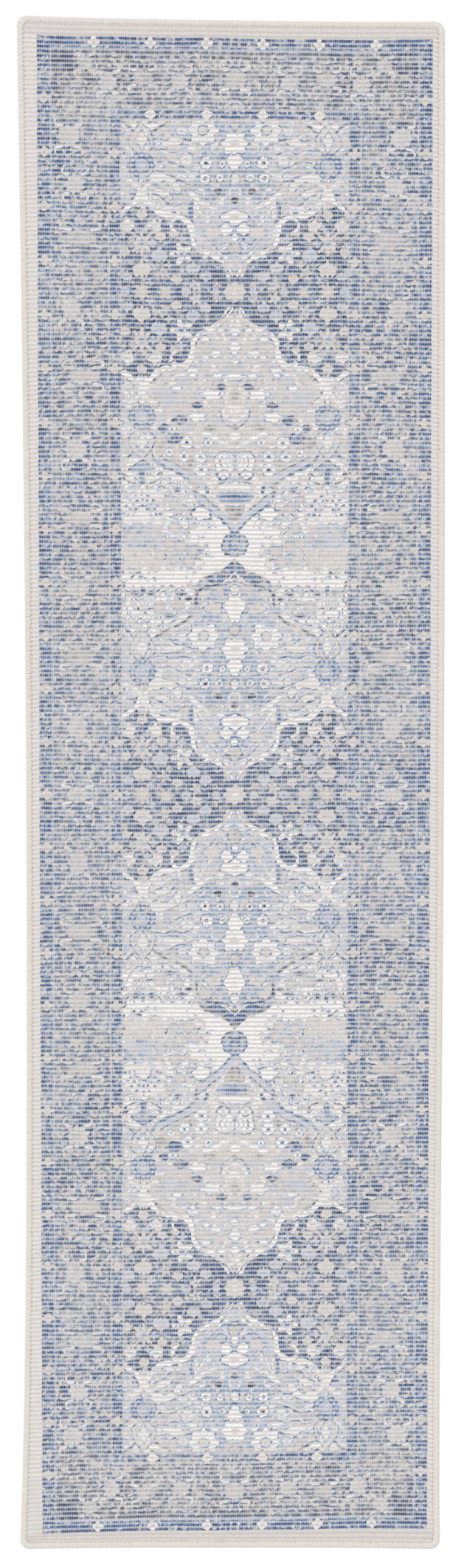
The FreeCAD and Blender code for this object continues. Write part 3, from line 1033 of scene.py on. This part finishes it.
def face_height(phase_index, stitch, rib, x, y):
    """The height of the cloth's face: ribs, their stitch scallops and the threads between them."""
    base = ROW_HEIGHTS[phase_index]
    on_rib = np.isin(phase_index, (2, 3, 4))
    lean = np.where(phase_index == 1, 0.5, 0.0)
    wave = np.cos(TURN * (stitch + lean))
    relief = np.where(on_rib, 0.09 * wave, 0.2 * wave) * MM
    uneven = 0.28 * (patchy(stitch, rib, 4.0, 0.9, 52) - 0.5) * MM
    height = base + relief + np.where(on_rib, uneven, 0)
    inset = np.minimum(HALF_WIDTH - np.abs(x), HALF_LENGTH - np.abs(y))
    pressed = smooth_step(inset, SERGING_WIDTH - 3 * MM, SERGING_WIDTH + 3 * MM)
    floor = 2.6 * MM
    return floor + (height - floor) * (0.35 + 0.65 * pressed)


def make_face_band(number, ribs, canvas, material):
    """One length of the woven face: a closed slab with every rib and stitch in its top."""
    phases = np.concatenate([rib - 0.5 + ROW_PHASES for rib in ribs] + [[ribs[-1] + 0.5]])
    phase_index = np.append(np.tile(np.arange(len(ROW_PHASES)), len(ribs)), 0)
    columns = np.arange(-FACE_COLUMNS_PER_SIDE, FACE_COLUMNS_PER_SIDE + 1)
    stitch = columns / COLUMNS_PER_STITCH
    grid_stitch, grid_rib = np.meshgrid(stitch, phases)
    grid_phase = np.repeat(phase_index[:, None], len(columns), axis=1)
    nominal_x = grid_stitch * STITCH_PITCH
    nominal_y = grid_rib * RIB_PITCH
    height = face_height(grid_phase, grid_stitch, np.round(grid_rib), nominal_x, nominal_y)

    limit_x = FACE_COLUMNS_PER_SIDE / COLUMNS_PER_STITCH * STITCH_PITCH
    limit_y = FACE_RIBS / 2 * RIB_PITCH
    x, y = rounded_corner(nominal_x, nominal_y, limit_x, limit_y, FACE_CORNER_SIZE)
    inner = smooth_step(limit_y - np.abs(y), 0, SKEW_FADE)
    foot_skew = END_SKEW * (x / HALF_WIDTH) * np.clip(-y / HALF_LENGTH, 0, None) ** 3
    strayed = y + (foot_skew + rib_wander(nominal_x, nominal_y)) * inner
    top = place(x, strayed, height).reshape(-1, 3)
    bottom = place(x, strayed, np.full(x.shape, FACE_BOTTOM)).reshape(-1, 3)

    rows, count = grid_rib.shape
    quads, wide, used = face_slab(rows, count, len(ROW_PHASES))
    obj = mesh_object(f"woven_face_{number:02d}", np.vstack([top, bottom[used]]), quads, wide=wide)
    sharpen_rim(obj, rows, count)
    colours, ink = print_colour(canvas, top[:, 0].reshape(x.shape), nominal_y)
    write_colour(obj, "print", np.vstack([colours.reshape(-1, 3), np.tile(linear(YARN), (len(used), 1))]))
    weave = np.stack([grid_stitch, grid_rib + 0.5, ink], axis=-1).reshape(-1, 3)
    write_vector(obj, "weave", np.vstack([weave, weave[used]]))
    obj.data.materials.append(material)
    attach(obj, BODY)
    return obj


def make_face(canvas, material):
    """The woven face, in lengths that meet between two ribs."""
    half = FACE_RIBS // 2
    groups = np.array_split(np.arange(-half, half + 1), FACE_BANDS)
    bands = []
    for number, ribs in enumerate(groups, start=1):
        band = make_face_band(number, ribs, canvas, material)
        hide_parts("printed_ribs", "plain_end_ribs", "warp_threads", "ground_cloth")
        bands.append(band)
    return bands


def make_layer(name, node, number, count, limit_x, limit_y, corner, cell, low, high, material):
    """One length of a flat layer under the face, as a closed slab."""
    rows = np.linspace(-limit_y, limit_y, count + 1)
    steps = max(2, int((rows[number] - rows[number - 1]) / cell))
    columns = max(2, int(2 * limit_x / cell))
    x, y = np.meshgrid(np.linspace(-limit_x, limit_x, columns),
                       np.linspace(rows[number - 1], rows[number], steps))
    bent_x, bent_y = rounded_corner(x, y, limit_x, limit_y, corner)
    top = place(bent_x, bent_y, np.full(x.shape, high)).reshape(-1, 3)
    bottom = place(bent_x, bent_y, low(bent_x, bent_y)).reshape(-1, 3)
    obj = mesh_object(f"{name}_{number}", np.vstack([top, bottom]), slab_quads(steps, columns))
    obj.data.materials.append(material)
    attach(obj, BODY)
    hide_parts(node)
    return obj


def backing_low(x, y):
    """The underside of the backing, raised where the care label lies."""
    low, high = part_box("care_label")
    margin = 3 * MM
    beside_x = np.maximum(low.x - x, x - high.x)
    beside_y = np.maximum(low.y - y, y - high.y)
    away = np.maximum(beside_x, beside_y)
    return 0.02 * MM + 0.53 * MM * (1 - smooth_step(away, 0, margin))


def film_low(x, y):
    """The underside of the adhesive, just above the backing."""
    return np.full(x.shape, BACKING_TOP + LAYER_GAP)


def outline_point(distance):
    """Place and outward direction on the straight rug's outline, clockwise from the head's middle."""
    straight_x = HALF_WIDTH - CORNER_RADIUS
    straight_y = HALF_LENGTH - CORNER_RADIUS
    arc = CORNER_RADIUS * math.pi / 2
    lengths = [straight_x, arc, 2 * straight_y, arc, 2 * straight_x, arc, 2 * straight_y, arc, straight_x]
    starts = np.concatenate([[0], np.cumsum(lengths)])
    distance = np.mod(distance, starts[-1])
    span = np.clip(np.searchsorted(starts, distance, side="right") - 1, 0, len(lengths) - 1)
    inside = distance - starts[span]
    turned = np.where(span % 2 == 1, inside / CORNER_RADIUS, 0)
    angle = math.pi / 2 - (span // 2 * math.pi / 2 + turned)
    along = np.where(span % 2 == 1, 0, inside)
    origin_x = np.array([0, straight_x, straight_x, straight_x, straight_x, -straight_x, -straight_x,
                         -straight_x, -straight_x])[span]
    origin_y = np.array([straight_y, straight_y, straight_y, -straight_y, -straight_y, -straight_y,
                         -straight_y, straight_y, straight_y])[span]
    out_x = np.cos(angle)
    out_y = np.sin(angle)
    x = origin_x + CORNER_RADIUS * out_x + along * out_y
    y = origin_y + CORNER_RADIUS * out_y - along * out_x
    return x, y, out_x, out_y


def tube_quads(tubes, rings, sides):
    """Faces of many closed tubes of rings by sides points. The ends are closed with three quads."""
    index = np.arange(rings * sides).reshape(rings, sides)
    following = np.roll(index, -1, axis=1)
    walls = np.stack([index[:-1], following[:-1], following[1:], index[1:]], axis=-1).reshape(-1, 4)
    cap = np.array([[0, 3, 2, 1], [0, sides - 1, 4, 3], [sides - 1, sides - 2, 5, 4]])
    last = index[-1][cap][:, ::-1]
    one = np.vstack([walls, cap, last])
    offsets = np.arange(tubes) * rings * sides
    return (one[None] + offsets[:, None, None]).reshape(-1, 4)


def make_tubes(name, path, inset, height, half_width, half_thickness, tone, material):
    """Many short yarns. Every array has one row per yarn and one column per ring: path is the
    distance along the outline, inset the distance in from it, and height the height above the floor."""
    sides = 8
    tubes, rings = path.shape
    x, y, out_x, out_y = outline_point(path)
    centre_x = x - out_x * inset
    centre_y = y - out_y * inset
    slope_inset = np.gradient(inset, axis=1)
    slope_height = np.gradient(height, axis=1)
    slope_path = np.gradient(path, axis=1)
    run = np.hypot(slope_inset, slope_height)
    ahead = np.hypot(run, slope_path) + 1e-12
    # Width runs across the yarn in the cloth's plane, thickness straight out of its surface
    face_in = np.where(run > 1e-9, slope_height / (run + 1e-12), 0)
    face_up = np.where(run > 1e-9, -slope_inset / (run + 1e-12), 1)
    width_path = run / ahead
    width_in = -slope_path / ahead * slope_inset / (run + 1e-12)
    width_up = -slope_path / ahead * slope_height / (run + 1e-12)
    stray = run <= 1e-9
    width_path = np.where(stray, 0, width_path)
    width_in = np.where(stray, 1, width_in)
    width_up = np.where(stray, 0, width_up)
    angle = TURN * (np.arange(sides) + 0.5) / sides
    wide = half_width[..., None] * np.cos(angle)
    thick = half_thickness[..., None] * np.sin(angle)
    shift_path = width_path[..., None] * wide
    shift_in = width_in[..., None] * wide + face_in[..., None] * thick
    shift_up = width_up[..., None] * wide + face_up[..., None] * thick
    point_x = centre_x[..., None] + out_y[..., None] * shift_path - out_x[..., None] * shift_in
    point_y = centre_y[..., None] - out_x[..., None] * shift_path - out_y[..., None] * shift_in
    point_z = height[..., None] + shift_up
    points = place(point_x, point_y, point_z).reshape(-1, 3)
    obj = mesh_object(name, points, tube_quads(tubes, rings, sides))
    length = np.cumsum(np.hypot(np.hypot(slope_inset, slope_height), slope_path), axis=1) / MM
    around = np.broadcast_to(angle / TURN, point_x.shape)
    yarn = np.stack([np.broadcast_to(length[..., None], point_x.shape), around,
                     np.broadcast_to(tone[:, None, None], point_x.shape)], axis=-1)
    write_vector(obj, "yarn", yarn.reshape(-1, 3))
    obj.data.materials.append(material)
    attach(obj, BODY)
    return obj


SIDE_RUNS = 4


def runs():
    """Name and outline stretch of each run: head, right sides downwards, foot, left sides upwards."""
    side = 2 * (HALF_LENGTH - CORNER_RADIUS)
    half_end = HALF_WIDTH - CORNER_RADIUS + CORNER_RADIUS * math.pi / 2
    stretches = [("head", -half_end, half_end)]
    start = half_end
    for number in range(SIDE_RUNS):
        stretches.append((f"right_{number + 1}", start, start + side / SIDE_RUNS))
        start += side / SIDE_RUNS
    stretches.append(("foot", start, start + 2 * half_end))
    start += 2 * half_end
    for number in range(SIDE_RUNS):
        stretches.append((f"left_{number + 1}", start, start + side / SIDE_RUNS))
        start += side / SIDE_RUNS
    return stretches


# One wrap of serging yarn: distance in from the outline and height, from the face round to the underside
WRAP_INSET = np.array([10.3, 9.6, 8.0, 6.0, 4.0, 2.3, 1.1, 0.75, 1.0, 2.2, 4.2, 7.0, 9.4, 10.2]) * MM
WRAP_HEIGHT = np.array([3.2, 3.85, 4.2, 4.32, 4.3, 4.05, 3.3, 2.4, 1.5, 0.75, 0.52, 0.5, 0.55, 0.75]) * MM
WRAP_PITCH = 3.0 * MM


def make_serging(name, start, end, seed, material):
    """Slightly uneven wraps of soft yarn round the raw edge."""
    rng = np.random.default_rng(seed)
    count = int(round((end - start) / WRAP_PITCH))
    middle = start + (np.arange(count) + 0.5) * (end - start) / count
    share = np.linspace(0, 1, len(WRAP_INSET))
    lean = 1.3 * MM * np.cos(share * math.pi)
    middle = middle + rng.normal(0, 0.14, count) * MM
    path = middle[:, None] + lean[None] * rng.uniform(0.85, 1.15, (count, 1))
    alternate = 0.9 * (np.arange(count) % 2)[:, None]
    reach = (rng.normal(0, 0.35, (count, 1)) - alternate) * MM
    inset = WRAP_INSET[None] + reach * smooth_step(WRAP_INSET, 4 * MM, 10 * MM)[None]
    height = WRAP_HEIGHT[None] + rng.normal(0, 0.09, (count, 1)) * MM * (WRAP_HEIGHT > 2 * MM)[None]
    taper = np.interp(share, [0, 0.06, 0.16, 0.84, 0.94, 1], [0.45, 0.8, 1, 1, 0.8, 0.45])
    half_width = 2.05 * MM * taper[None] * rng.uniform(0.93, 1.07, (count, 1))
    half_thickness = 0.46 * MM * np.sqrt(taper)[None] * np.ones((count, 1))
    obj = make_tubes(f"edge_serging_{name}", path, inset, height, half_width, half_thickness,
                     rng.random(count), material)
    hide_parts("edge_serging")
    return obj


def make_stitches(name, node, start, end, seed, inset, height, pitch, length, material):
    """A line of sewing stitches along the serging, on the face or on the underside."""
    rng = np.random.default_rng(seed)
    count = int(round((end - start) / pitch))
    middle = start + (np.arange(count) + 0.5) * (end - start) / count
    share = np.linspace(-1, 1, 6)
    path = middle[:, None] + share[None] * length / 2 * rng.uniform(0.85, 1.1, (count, 1))
    sideways = rng.normal(0, 0.12, (count, 1)) + 0.35 * share[None]
    insets = inset + sideways * MM
    heights = height + 0.18 * MM * (1 - share[None] ** 2) * np.ones((count, 1))
    taper = np.sqrt(1.02 - share ** 2 * 0.85)
    half_width = 0.36 * MM * taper[None] * np.ones((count, 1))
    half_thickness = 0.3 * MM * taper[None] * np.ones((count, 1))
    obj = make_tubes(f"{node}_{name}", path, insets, heights, half_width, half_thickness,
                     rng.random(count), material)
    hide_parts(node)
    return obj


def make_label(material):
    """A blank woven tape label, slightly cockled, with turned-in ends."""
    low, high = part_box("care_label")
    rows = 40
    columns = 26
    x, y = np.meshgrid(np.linspace(low.x, high.x, columns), np.linspace(low.y, high.y, rows))
    wave = 0.04 * MM * np.sin(TURN * (x - low.x) / 0.011) * np.cos(TURN * (y - low.y) / 0.017)
    from_end = np.minimum(y - low.y, high.y - y)
    folded = 0.1 * MM * (1 - smooth_step(from_end, 4 * MM, 5 * MM))
    under = low.z + 0.12 * MM + wave - folded
    top = place(x, y, under + 0.18 * MM).reshape(-1, 3)
    bottom = place(x, y, under).reshape(-1, 3)
    obj = mesh_object("care_label_tape", np.vstack([top, bottom]), slab_quads(rows, columns))
    obj.data.materials.append(material)
    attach(obj, BODY)
    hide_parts("care_label")
    return obj


def make_label_stitches(material):
    """Short stitches along both long sides of the label."""
    low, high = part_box("label_stitches")
    per_row = 10
    sides = 8
    share = np.linspace(-1, 1, 6)
    stitch_half = 1.5 * MM
    centres_y = np.linspace(low.y + stitch_half, high.y - stitch_half, per_row)
    stitch_x = np.repeat([low.x + 0.25 * MM, high.x - 0.25 * MM], per_row)
    stitch_y = np.tile(centres_y, 2)
    angle = TURN * (np.arange(sides) + 0.5) / sides
    taper = np.sqrt(1.02 - share ** 2 * 0.85)
    radius = 0.22 * MM
    x = stitch_x[:, None, None] + radius * taper[None, :, None] * np.cos(angle)
    y = stitch_y[:, None, None] + stitch_half * share[None, :, None] + 0 * angle
    z = 0.14 * MM + 0.1 * MM * taper[None, :, None] * np.sin(angle)
    x, y, z = np.broadcast_arrays(x, y, z)
    points = place(x, y, z).reshape(-1, 3)
    obj = mesh_object("label_thread", points, tube_quads(2 * per_row, len(share), sides))
    around = np.broadcast_to(angle / TURN, x.shape)
    length = (y - stitch_y[:, None, None]) / MM
    write_vector(obj, "yarn", np.stack([length, around, 0.5 + 0 * length], axis=-1).reshape(-1, 3))
    obj.data.materials.append(material)
    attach(obj, BODY)
    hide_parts("label_stitches")
    return obj


# ---------------------------------------------------------------- materials


def new_material(name, roughness, sheen):
    """A fabric shader with nothing linked yet. Returns the material and its shader."""
    material = bpy.data.materials.new(name)
    material.use_nodes = True
    nodes = material.node_tree.nodes
    shader = nodes["Principled BSDF"]
    shader.inputs["Roughness"].default_value = roughness
    shader.inputs["Specular IOR Level"].default_value = 0.25
    shader.inputs["Sheen Weight"].default_value = sheen
    shader.inputs["Sheen Roughness"].default_value = 0.6
    return material, shader


def maths(material, operation, first, second=None, third=None):
    """A Math node. Each input is a number or another node's socket."""
    node = material.node_tree.nodes.new("ShaderNodeMath")
    node.operation = operation
    for socket, value in zip(node.inputs, (first, second, third)):
        if value is None:
            continue
        if isinstance(value, (int, float)):
            socket.default_value = value
        else:
            material.node_tree.links.new(value, socket)
    return node.outputs[0]


def blend(material, share, first, second, kind="MIX"):
    """A colour Mix node. Colours are tuples or sockets."""
    node = material.node_tree.nodes.new("ShaderNodeMix")
    node.data_type = "RGBA"
    node.blend_type = kind
    for socket, value in ((node.inputs["Factor"], share), (node.inputs[6], first), (node.inputs[7], second)):
        if isinstance(value, (int, float)):
            socket.default_value = value
        elif isinstance(value, tuple):
            socket.default_value = value + (1,)
        else:
            material.node_tree.links.new(value, socket)
    return node.outputs[2]


def ramped(material, value, low, high):
    """A smooth rise from 0 to 1 as value goes from low to high."""
    node = material.node_tree.nodes.new("ShaderNodeMapRange")
    node.interpolation_type = "SMOOTHSTEP"
    material.node_tree.links.new(value, node.inputs["Value"])
    node.inputs["From Min"].default_value = low
    node.inputs["From Max"].default_value = high
    return node.outputs["Result"]


def noise(material, vector, scale, stretch=(1, 1, 1), detail=3.0):
    """A Noise node on a stretched place."""
    nodes = material.node_tree.nodes
    mapping = nodes.new("ShaderNodeMapping")
    mapping.inputs["Scale"].default_value = stretch
    material.node_tree.links.new(vector, mapping.inputs["Vector"])
    node = nodes.new("ShaderNodeTexNoise")
    node.inputs["Scale"].default_value = scale
    node.inputs["Detail"].default_value = detail
    material.node_tree.links.new(mapping.outputs["Vector"], node.inputs["Vector"])
    return node.outputs["Fac"]


def attribute(material, name):
    """An Attribute node."""
    node = material.node_tree.nodes.new("ShaderNodeAttribute")
    node.attribute_name = name
    return node


def split(material, vector):
    """The X, Y and Z sockets of a vector."""
    node = material.node_tree.nodes.new("ShaderNodeSeparateXYZ")
    material.node_tree.links.new(vector, node.inputs[0])
    return node.outputs


def object_place(material):
    """Places in the object itself, for the noises."""
    return material.node_tree.nodes.new("ShaderNodeTexCoord").outputs["Object"]


def cosine(material, turns):
    """0.5 + 0.5 cos of a number of turns: 1 at whole turns, 0 half way."""
    wave = maths(material, "COSINE", maths(material, "MULTIPLY", turns, TURN))
    return maths(material, "MULTIPLY_ADD", wave, 0.5, 0.5)


def bump(material, shader, height, strength, distance):
    node = material.node_tree.nodes.new("ShaderNodeBump")
    node.inputs["Strength"].default_value = strength
    node.inputs["Distance"].default_value = distance
    material.node_tree.links.new(height, node.inputs["Height"])
    material.node_tree.links.new(node.outputs["Normal"], shader.inputs["Normal"])


def as_tuple(colour):
    """A screen colour as a scene-linear tuple."""
    return tuple(float(part) for part in linear(colour))


BARE_YARN = as_tuple((0.855, 0.835, 0.820))
WARP_LOOP = as_tuple((0.900, 0.878, 0.858))
# The colour in the small gaps between warp loops: painted shade
WARP_GAP_SHADE = as_tuple((0.700, 0.635, 0.585))


def face_material():
    """Rib yarn with ink on its crests, and two staggered rows of warp loops between the ribs. The gaps
    between loops and the grooves between stitches get painted shade.
    """
    material, shader = new_material("woven_face", 0.9, 0.1)
    links = material.node_tree.links
    where = object_place(material)
    weave = split(material, attribute(material, "weave").outputs["Vector"])
    stitch = weave["X"]
    ink = weave["Z"]
    fuzz = noise(material, where, 650, (1, 1.3, 1), 2.0)
    fibre = noise(material, where, 430, (1.7, 1.0, 1.0), 4.0)
    ragged = maths(material, "MULTIPLY_ADD", fuzz, 0.40, -0.20)
    waver = maths(material, "MULTIPLY_ADD", noise(material, where, 240, (1, 0.5, 1), 1.0), 0.30, -0.15)

    # Distance from the rib's crest line, in rib pitches: 0 on the crest, 0.5 between two ribs
    phase = maths(material, "FRACT", weave["Y"])
    from_crest = maths(material, "ABSOLUTE", maths(material, "SUBTRACT", phase, 0.5))
    crest = ramped(material, maths(material, "MULTIPLY_ADD", ragged, 0.25, from_crest), 0.36, 0.26)

    # Warp loops: painted shade, dark only in the small gaps between one loop and the next
    upper = maths(material, "GREATER_THAN", phase, 0.5)
    strayed = maths(material, "MULTIPLY_ADD", fuzz, 0.35, stitch)
    shifted = maths(material, "MULTIPLY_ADD", upper, 0.5, strayed)
    between = maths(material, "POWER", cosine(material, shifted), 3.0)
    from_row = maths(material, "ABSOLUTE", maths(material, "SUBTRACT", from_crest, 0.39))
    row = ramped(material, from_row, 0.11, 0.03)
    uneven = ramped(material, noise(material, where, 300, (1, 1, 1), 1.0), 0.30, 0.62)
    gap = maths(material, "MULTIPLY", maths(material, "MULTIPLY", between, row), uneven)
    loops = blend(material, ramped(material, fibre, 0.3, 0.7), BARE_YARN, WARP_LOOP)
    washed = blend(material, 0.34, loops, attribute(material, "print").outputs["Color"])
    valley = blend(material, gap, blend(material, ink, loops, washed), WARP_GAP_SHADE)

    # Rib yarn: the ink covers less of the rib the fainter it is, and is ragged along its sides
    scallop = maths(material, "MULTIPLY_ADD", cosine(material, stitch), 0.08, ragged)
    centred = maths(material, "ADD", maths(material, "SUBTRACT", phase, 0.5), waver)
    reach = maths(material, "MULTIPLY_ADD", ink, 0.07, 0.24)
    inside = maths(material, "SUBTRACT", reach, maths(material, "ABSOLUTE", centred))
    cover = ramped(material, maths(material, "SUBTRACT", inside, scallop), -0.045, 0.04)
    colour = attribute(material, "print").outputs["Color"]
    flank = blend(material, 0.6, colour, BARE_YARN)
    rib_colour = blend(material, cover, flank, colour)
    notch = maths(material, "POWER", cosine(material, stitch), 4.0)
    notch = maths(material, "MULTIPLY", notch, ramped(material, fibre, 0.30, 0.55))
    rib_colour = blend(material, maths(material, "MULTIPLY", notch, 0.36), rib_colour, BARE_YARN)
    lighter = blend(material, 1.0, rib_colour, (1.12, 1.12, 1.12), "MULTIPLY")
    darker = blend(material, 1.0, rib_colour, (0.92, 0.92, 0.93), "MULTIPLY")
    rib_colour = blend(material, ramped(material, fibre, 0.35, 0.65), darker, lighter)
    # Painted shade: the rib colour darkens in the grooves between stitches
    groove_shaded_rib = blend(material, 1.0, rib_colour, (0.78, 0.78, 0.80), "MULTIPLY")
    groove = maths(material, "POWER", cosine(material, maths(material, "ADD", stitch, 0.5)), 2.0)
    rib_colour = blend(material, maths(material, "MULTIPLY", groove, 0.45), rib_colour, groove_shaded_rib)

    links.new(blend(material, crest, valley, rib_colour), shader.inputs["Base Color"])
    links.new(maths(material, "MULTIPLY_ADD", fibre, -0.2, 0.98), shader.inputs["Roughness"])
    height = maths(material, "MULTIPLY_ADD", fibre, 0.6, maths(material, "MULTIPLY", gap, -0.6))
    height = maths(material, "MULTIPLY_ADD", notch, -0.35, height)
    bump(material, shader, height, 0.5, 0.5 * MM)
    return material


def yarn_material(name, light, shade, roughness, twists, sheen, relief):
    """Plied yarn: twisted strands with painted shade in the grooves between them, fluff and a little tone
    from yarn to yarn.
    """
    material, shader = new_material(name, roughness, sheen)
    links = material.node_tree.links
    where = object_place(material)
    yarn = split(material, attribute(material, "yarn").outputs["Vector"])
    turns = maths(material, "MULTIPLY_ADD", yarn["X"], twists, maths(material, "MULTIPLY", yarn["Y"], 3.0))
    fluff = noise(material, where, 700, (1, 1, 1), 3.0)
    strands = cosine(material, maths(material, "MULTIPLY_ADD", fluff, 0.35, turns))
    groove = ramped(material, strands, 0.0, 0.55)
    tone = maths(material, "MULTIPLY_ADD", noise(material, where, 26, (1, 1, 1), 3.0), 0.7,
                 maths(material, "MULTIPLY", yarn["Z"], 0.4))
    between = blend(material, 0.45, light, shade)
    strand_colour = blend(material, ramped(material, tone, 0.3, 0.8), light, between)
    # The grooves between the strands take the shade colour: painted shade
    base = blend(material, groove, shade, strand_colour)
    links.new(base, shader.inputs["Base Color"])
    links.new(maths(material, "MULTIPLY_ADD", fluff, -0.16, roughness + 0.06), shader.inputs["Roughness"])
    bump(material, shader, maths(material, "MULTIPLY_ADD", groove, relief, fluff), 0.5, 0.3 * MM)
    return material


def cloth_material(name, light, shade, pitch, roughness):
    """A fine plain weave, for the backing and the label, with painted shade between the threads and slub and
    fleck tone of the cloth's own.
    """
    material, shader = new_material(name, roughness, 0.1)
    links = material.node_tree.links
    where = object_place(material)
    axes = split(material, where)
    warp = cosine(material, maths(material, "DIVIDE", axes["X"], pitch))
    weft = cosine(material, maths(material, "DIVIDE", axes["Y"], pitch))
    diagonal = maths(material, "ADD", axes["X"], axes["Y"])
    over = cosine(material, maths(material, "DIVIDE", diagonal, 2 * pitch))
    threads = maths(material, "ADD", maths(material, "MULTIPLY", warp, over),
                    maths(material, "MULTIPLY", weft, maths(material, "SUBTRACT", 1.0, over)))
    slub = noise(material, where, 55, (1, 7, 1), 4.0)
    fleck = noise(material, where, 900, (1, 1, 1), 2.0)
    # The thread pattern darkens the colour between the threads: painted shade; slub and fleck are the
    # cloth's own tone
    tone = maths(material, "MULTIPLY_ADD", slub, 0.7, maths(material, "MULTIPLY", threads, 0.45))
    tone = maths(material, "MULTIPLY_ADD", fleck, 0.25, tone)
    links.new(blend(material, ramped(material, tone, 0.35, 0.95), shade, light), shader.inputs["Base Color"])
    links.new(maths(material, "MULTIPLY_ADD", slub, -0.15, roughness + 0.05), shader.inputs["Roughness"])
    bump(material, shader, threads, 0.5, 0.3 * MM)
    return material


def adhesive_material():
    """Milky latex with small pits and yellowish thin places."""
    material, shader = new_material("latex_adhesive", 0.6, 0.0)
    links = material.node_tree.links
    where = object_place(material)
    thin = noise(material, where, 40, (1, 1, 1), 5.0)
    pits = noise(material, where, 480, (1, 1, 1), 2.0)
    thick_colour = as_tuple((0.90, 0.885, 0.83))
    thin_colour = as_tuple((0.82, 0.78, 0.68))
    links.new(blend(material, ramped(material, thin, 0.35, 0.65), thin_colour, thick_colour),
              shader.inputs["Base Color"])
    links.new(maths(material, "MULTIPLY_ADD", pits, 0.3, 0.45), shader.inputs["Roughness"])
    bump(material, shader, pits, 0.4, 0.2 * MM)
    return material


def floor_material():
    """Plain, nearly white and matt."""
    material, shader = new_material("studio_floor", 0.85, 0.0)
    shader.inputs["Base Color"].default_value = as_tuple((0.995, 0.995, 0.995)) + (1,)
    return material


# ---------------------------------------------------------------- the scene

CAMERA_DISTANCE = 3.6
CAMERA_TILT = math.radians(2.54)
CAMERA_LENS = 51.8
AIM_X = PRINT_AXIS - 4.4 * MM
AIM_Y = 17.5 * MM

FLOOR_HALF_SIZE = 14.0
KEY_STRENGTH = 1.42
KEY_ANGLE = math.radians(34)
KEY_TURN = (math.radians(-26), math.radians(-14), 0)
SURROUND_STRENGTH = 0.64


def make_camera():
    """Above the rug, almost straight down, a little nearer to the head end."""
    data = bpy.data.cameras.new("camera")
    data.lens = CAMERA_LENS
    camera = bpy.data.objects.new("camera", data)
    bpy.context.scene.collection.objects.link(camera)
    camera.location = (AIM_X, AIM_Y + CAMERA_DISTANCE * math.sin(CAMERA_TILT),
                       CAMERA_DISTANCE * math.cos(CAMERA_TILT))
    camera.rotation_euler = (-CAMERA_TILT, 0, 0)
    bpy.context.scene.camera = camera


def make_floor():
    """A plain pale floor, which is staging and no part of the rug."""
    ends = (-FLOOR_HALF_SIZE, FLOOR_HALF_SIZE)
    x, y = np.meshgrid(ends, ends)
    points = np.stack([x, y, np.zeros((2, 2))], axis=-1).reshape(-1, 3)
    floor = mesh_object("studio_floor", points, grid_quads(2, 2))
    floor.data.materials.append(floor_material())


def make_light():
    """A broad soft key from beyond the head end, over an even pale surround."""
    data = bpy.data.lights.new("key", "SUN")
    data.energy = KEY_STRENGTH
    data.angle = KEY_ANGLE
    key = bpy.data.objects.new("key", data)
    bpy.context.scene.collection.objects.link(key)
    key.rotation_euler = KEY_TURN
    world = bpy.data.worlds.new("surround")
    world.use_nodes = True
    background = world.node_tree.nodes["Background"]
    background.inputs["Color"].default_value = (1, 1, 1, 1)
    background.inputs["Strength"].default_value = SURROUND_STRENGTH
    bpy.context.scene.world = world
    bpy.context.scene.view_settings.view_transform = "Standard"


make_camera()
make_floor()
make_light()

print_canvas = draw_print()
make_face(print_canvas, face_material())

serging_yarn = yarn_material("serging_yarn", as_tuple((0.905, 0.883, 0.865)),
                             as_tuple((0.862, 0.832, 0.808)), 0.88, 0.30, 0.15, 0.25)
sewing_thread = yarn_material("sewing_thread", as_tuple((0.85, 0.815, 0.785)),
                              as_tuple((0.72, 0.665, 0.625)), 0.7, 1.1, 0.05, 1.0)
for index, (run_name, run_start, run_end) in enumerate(runs()):
    make_serging(run_name, run_start, run_end, 100 + index, serging_yarn)
    make_stitches(run_name, "serging_needle_thread", run_start, run_end, 200 + index,
                  NEEDLE_INSET, NEEDLE_HEIGHT, THREAD_PITCH, NEEDLE_STITCH, sewing_thread)
    make_stitches(run_name, "serging_looper_thread", run_start, run_end, 300 + index,
                  LOOPER_INSET, LOOPER_HEIGHT, THREAD_PITCH, LOOPER_STITCH, sewing_thread)

backing = cloth_material("backing_cloth", as_tuple((0.86, 0.84, 0.80)), as_tuple((0.70, 0.665, 0.61)),
                         1.6 * MM, 0.9)
adhesive = adhesive_material()
for length_number in range(1, LAYER_LENGTHS + 1):
    make_layer("backing_cloth", "backing_cloth", length_number, LAYER_LENGTHS,
               HALF_WIDTH - BACKING_INSET, HALF_LENGTH - BACKING_INSET, 6 * MM, 5 * MM,
               backing_low, BACKING_TOP, backing)
    make_layer("adhesive_film", "adhesive_layer", length_number, LAYER_LENGTHS,
               HALF_WIDTH - FILM_SIDE_INSET, HALF_LENGTH - FILM_END_INSET, 12 * MM, 12 * MM,
               film_low, ADHESIVE_TOP - LAYER_GAP, adhesive)

make_label(cloth_material("label_tape", as_tuple((0.95, 0.945, 0.93)), as_tuple((0.86, 0.85, 0.83)),
                          0.4 * MM, 0.75))
make_label_stitches(sewing_thread)

bpy.context.view_layer.update()
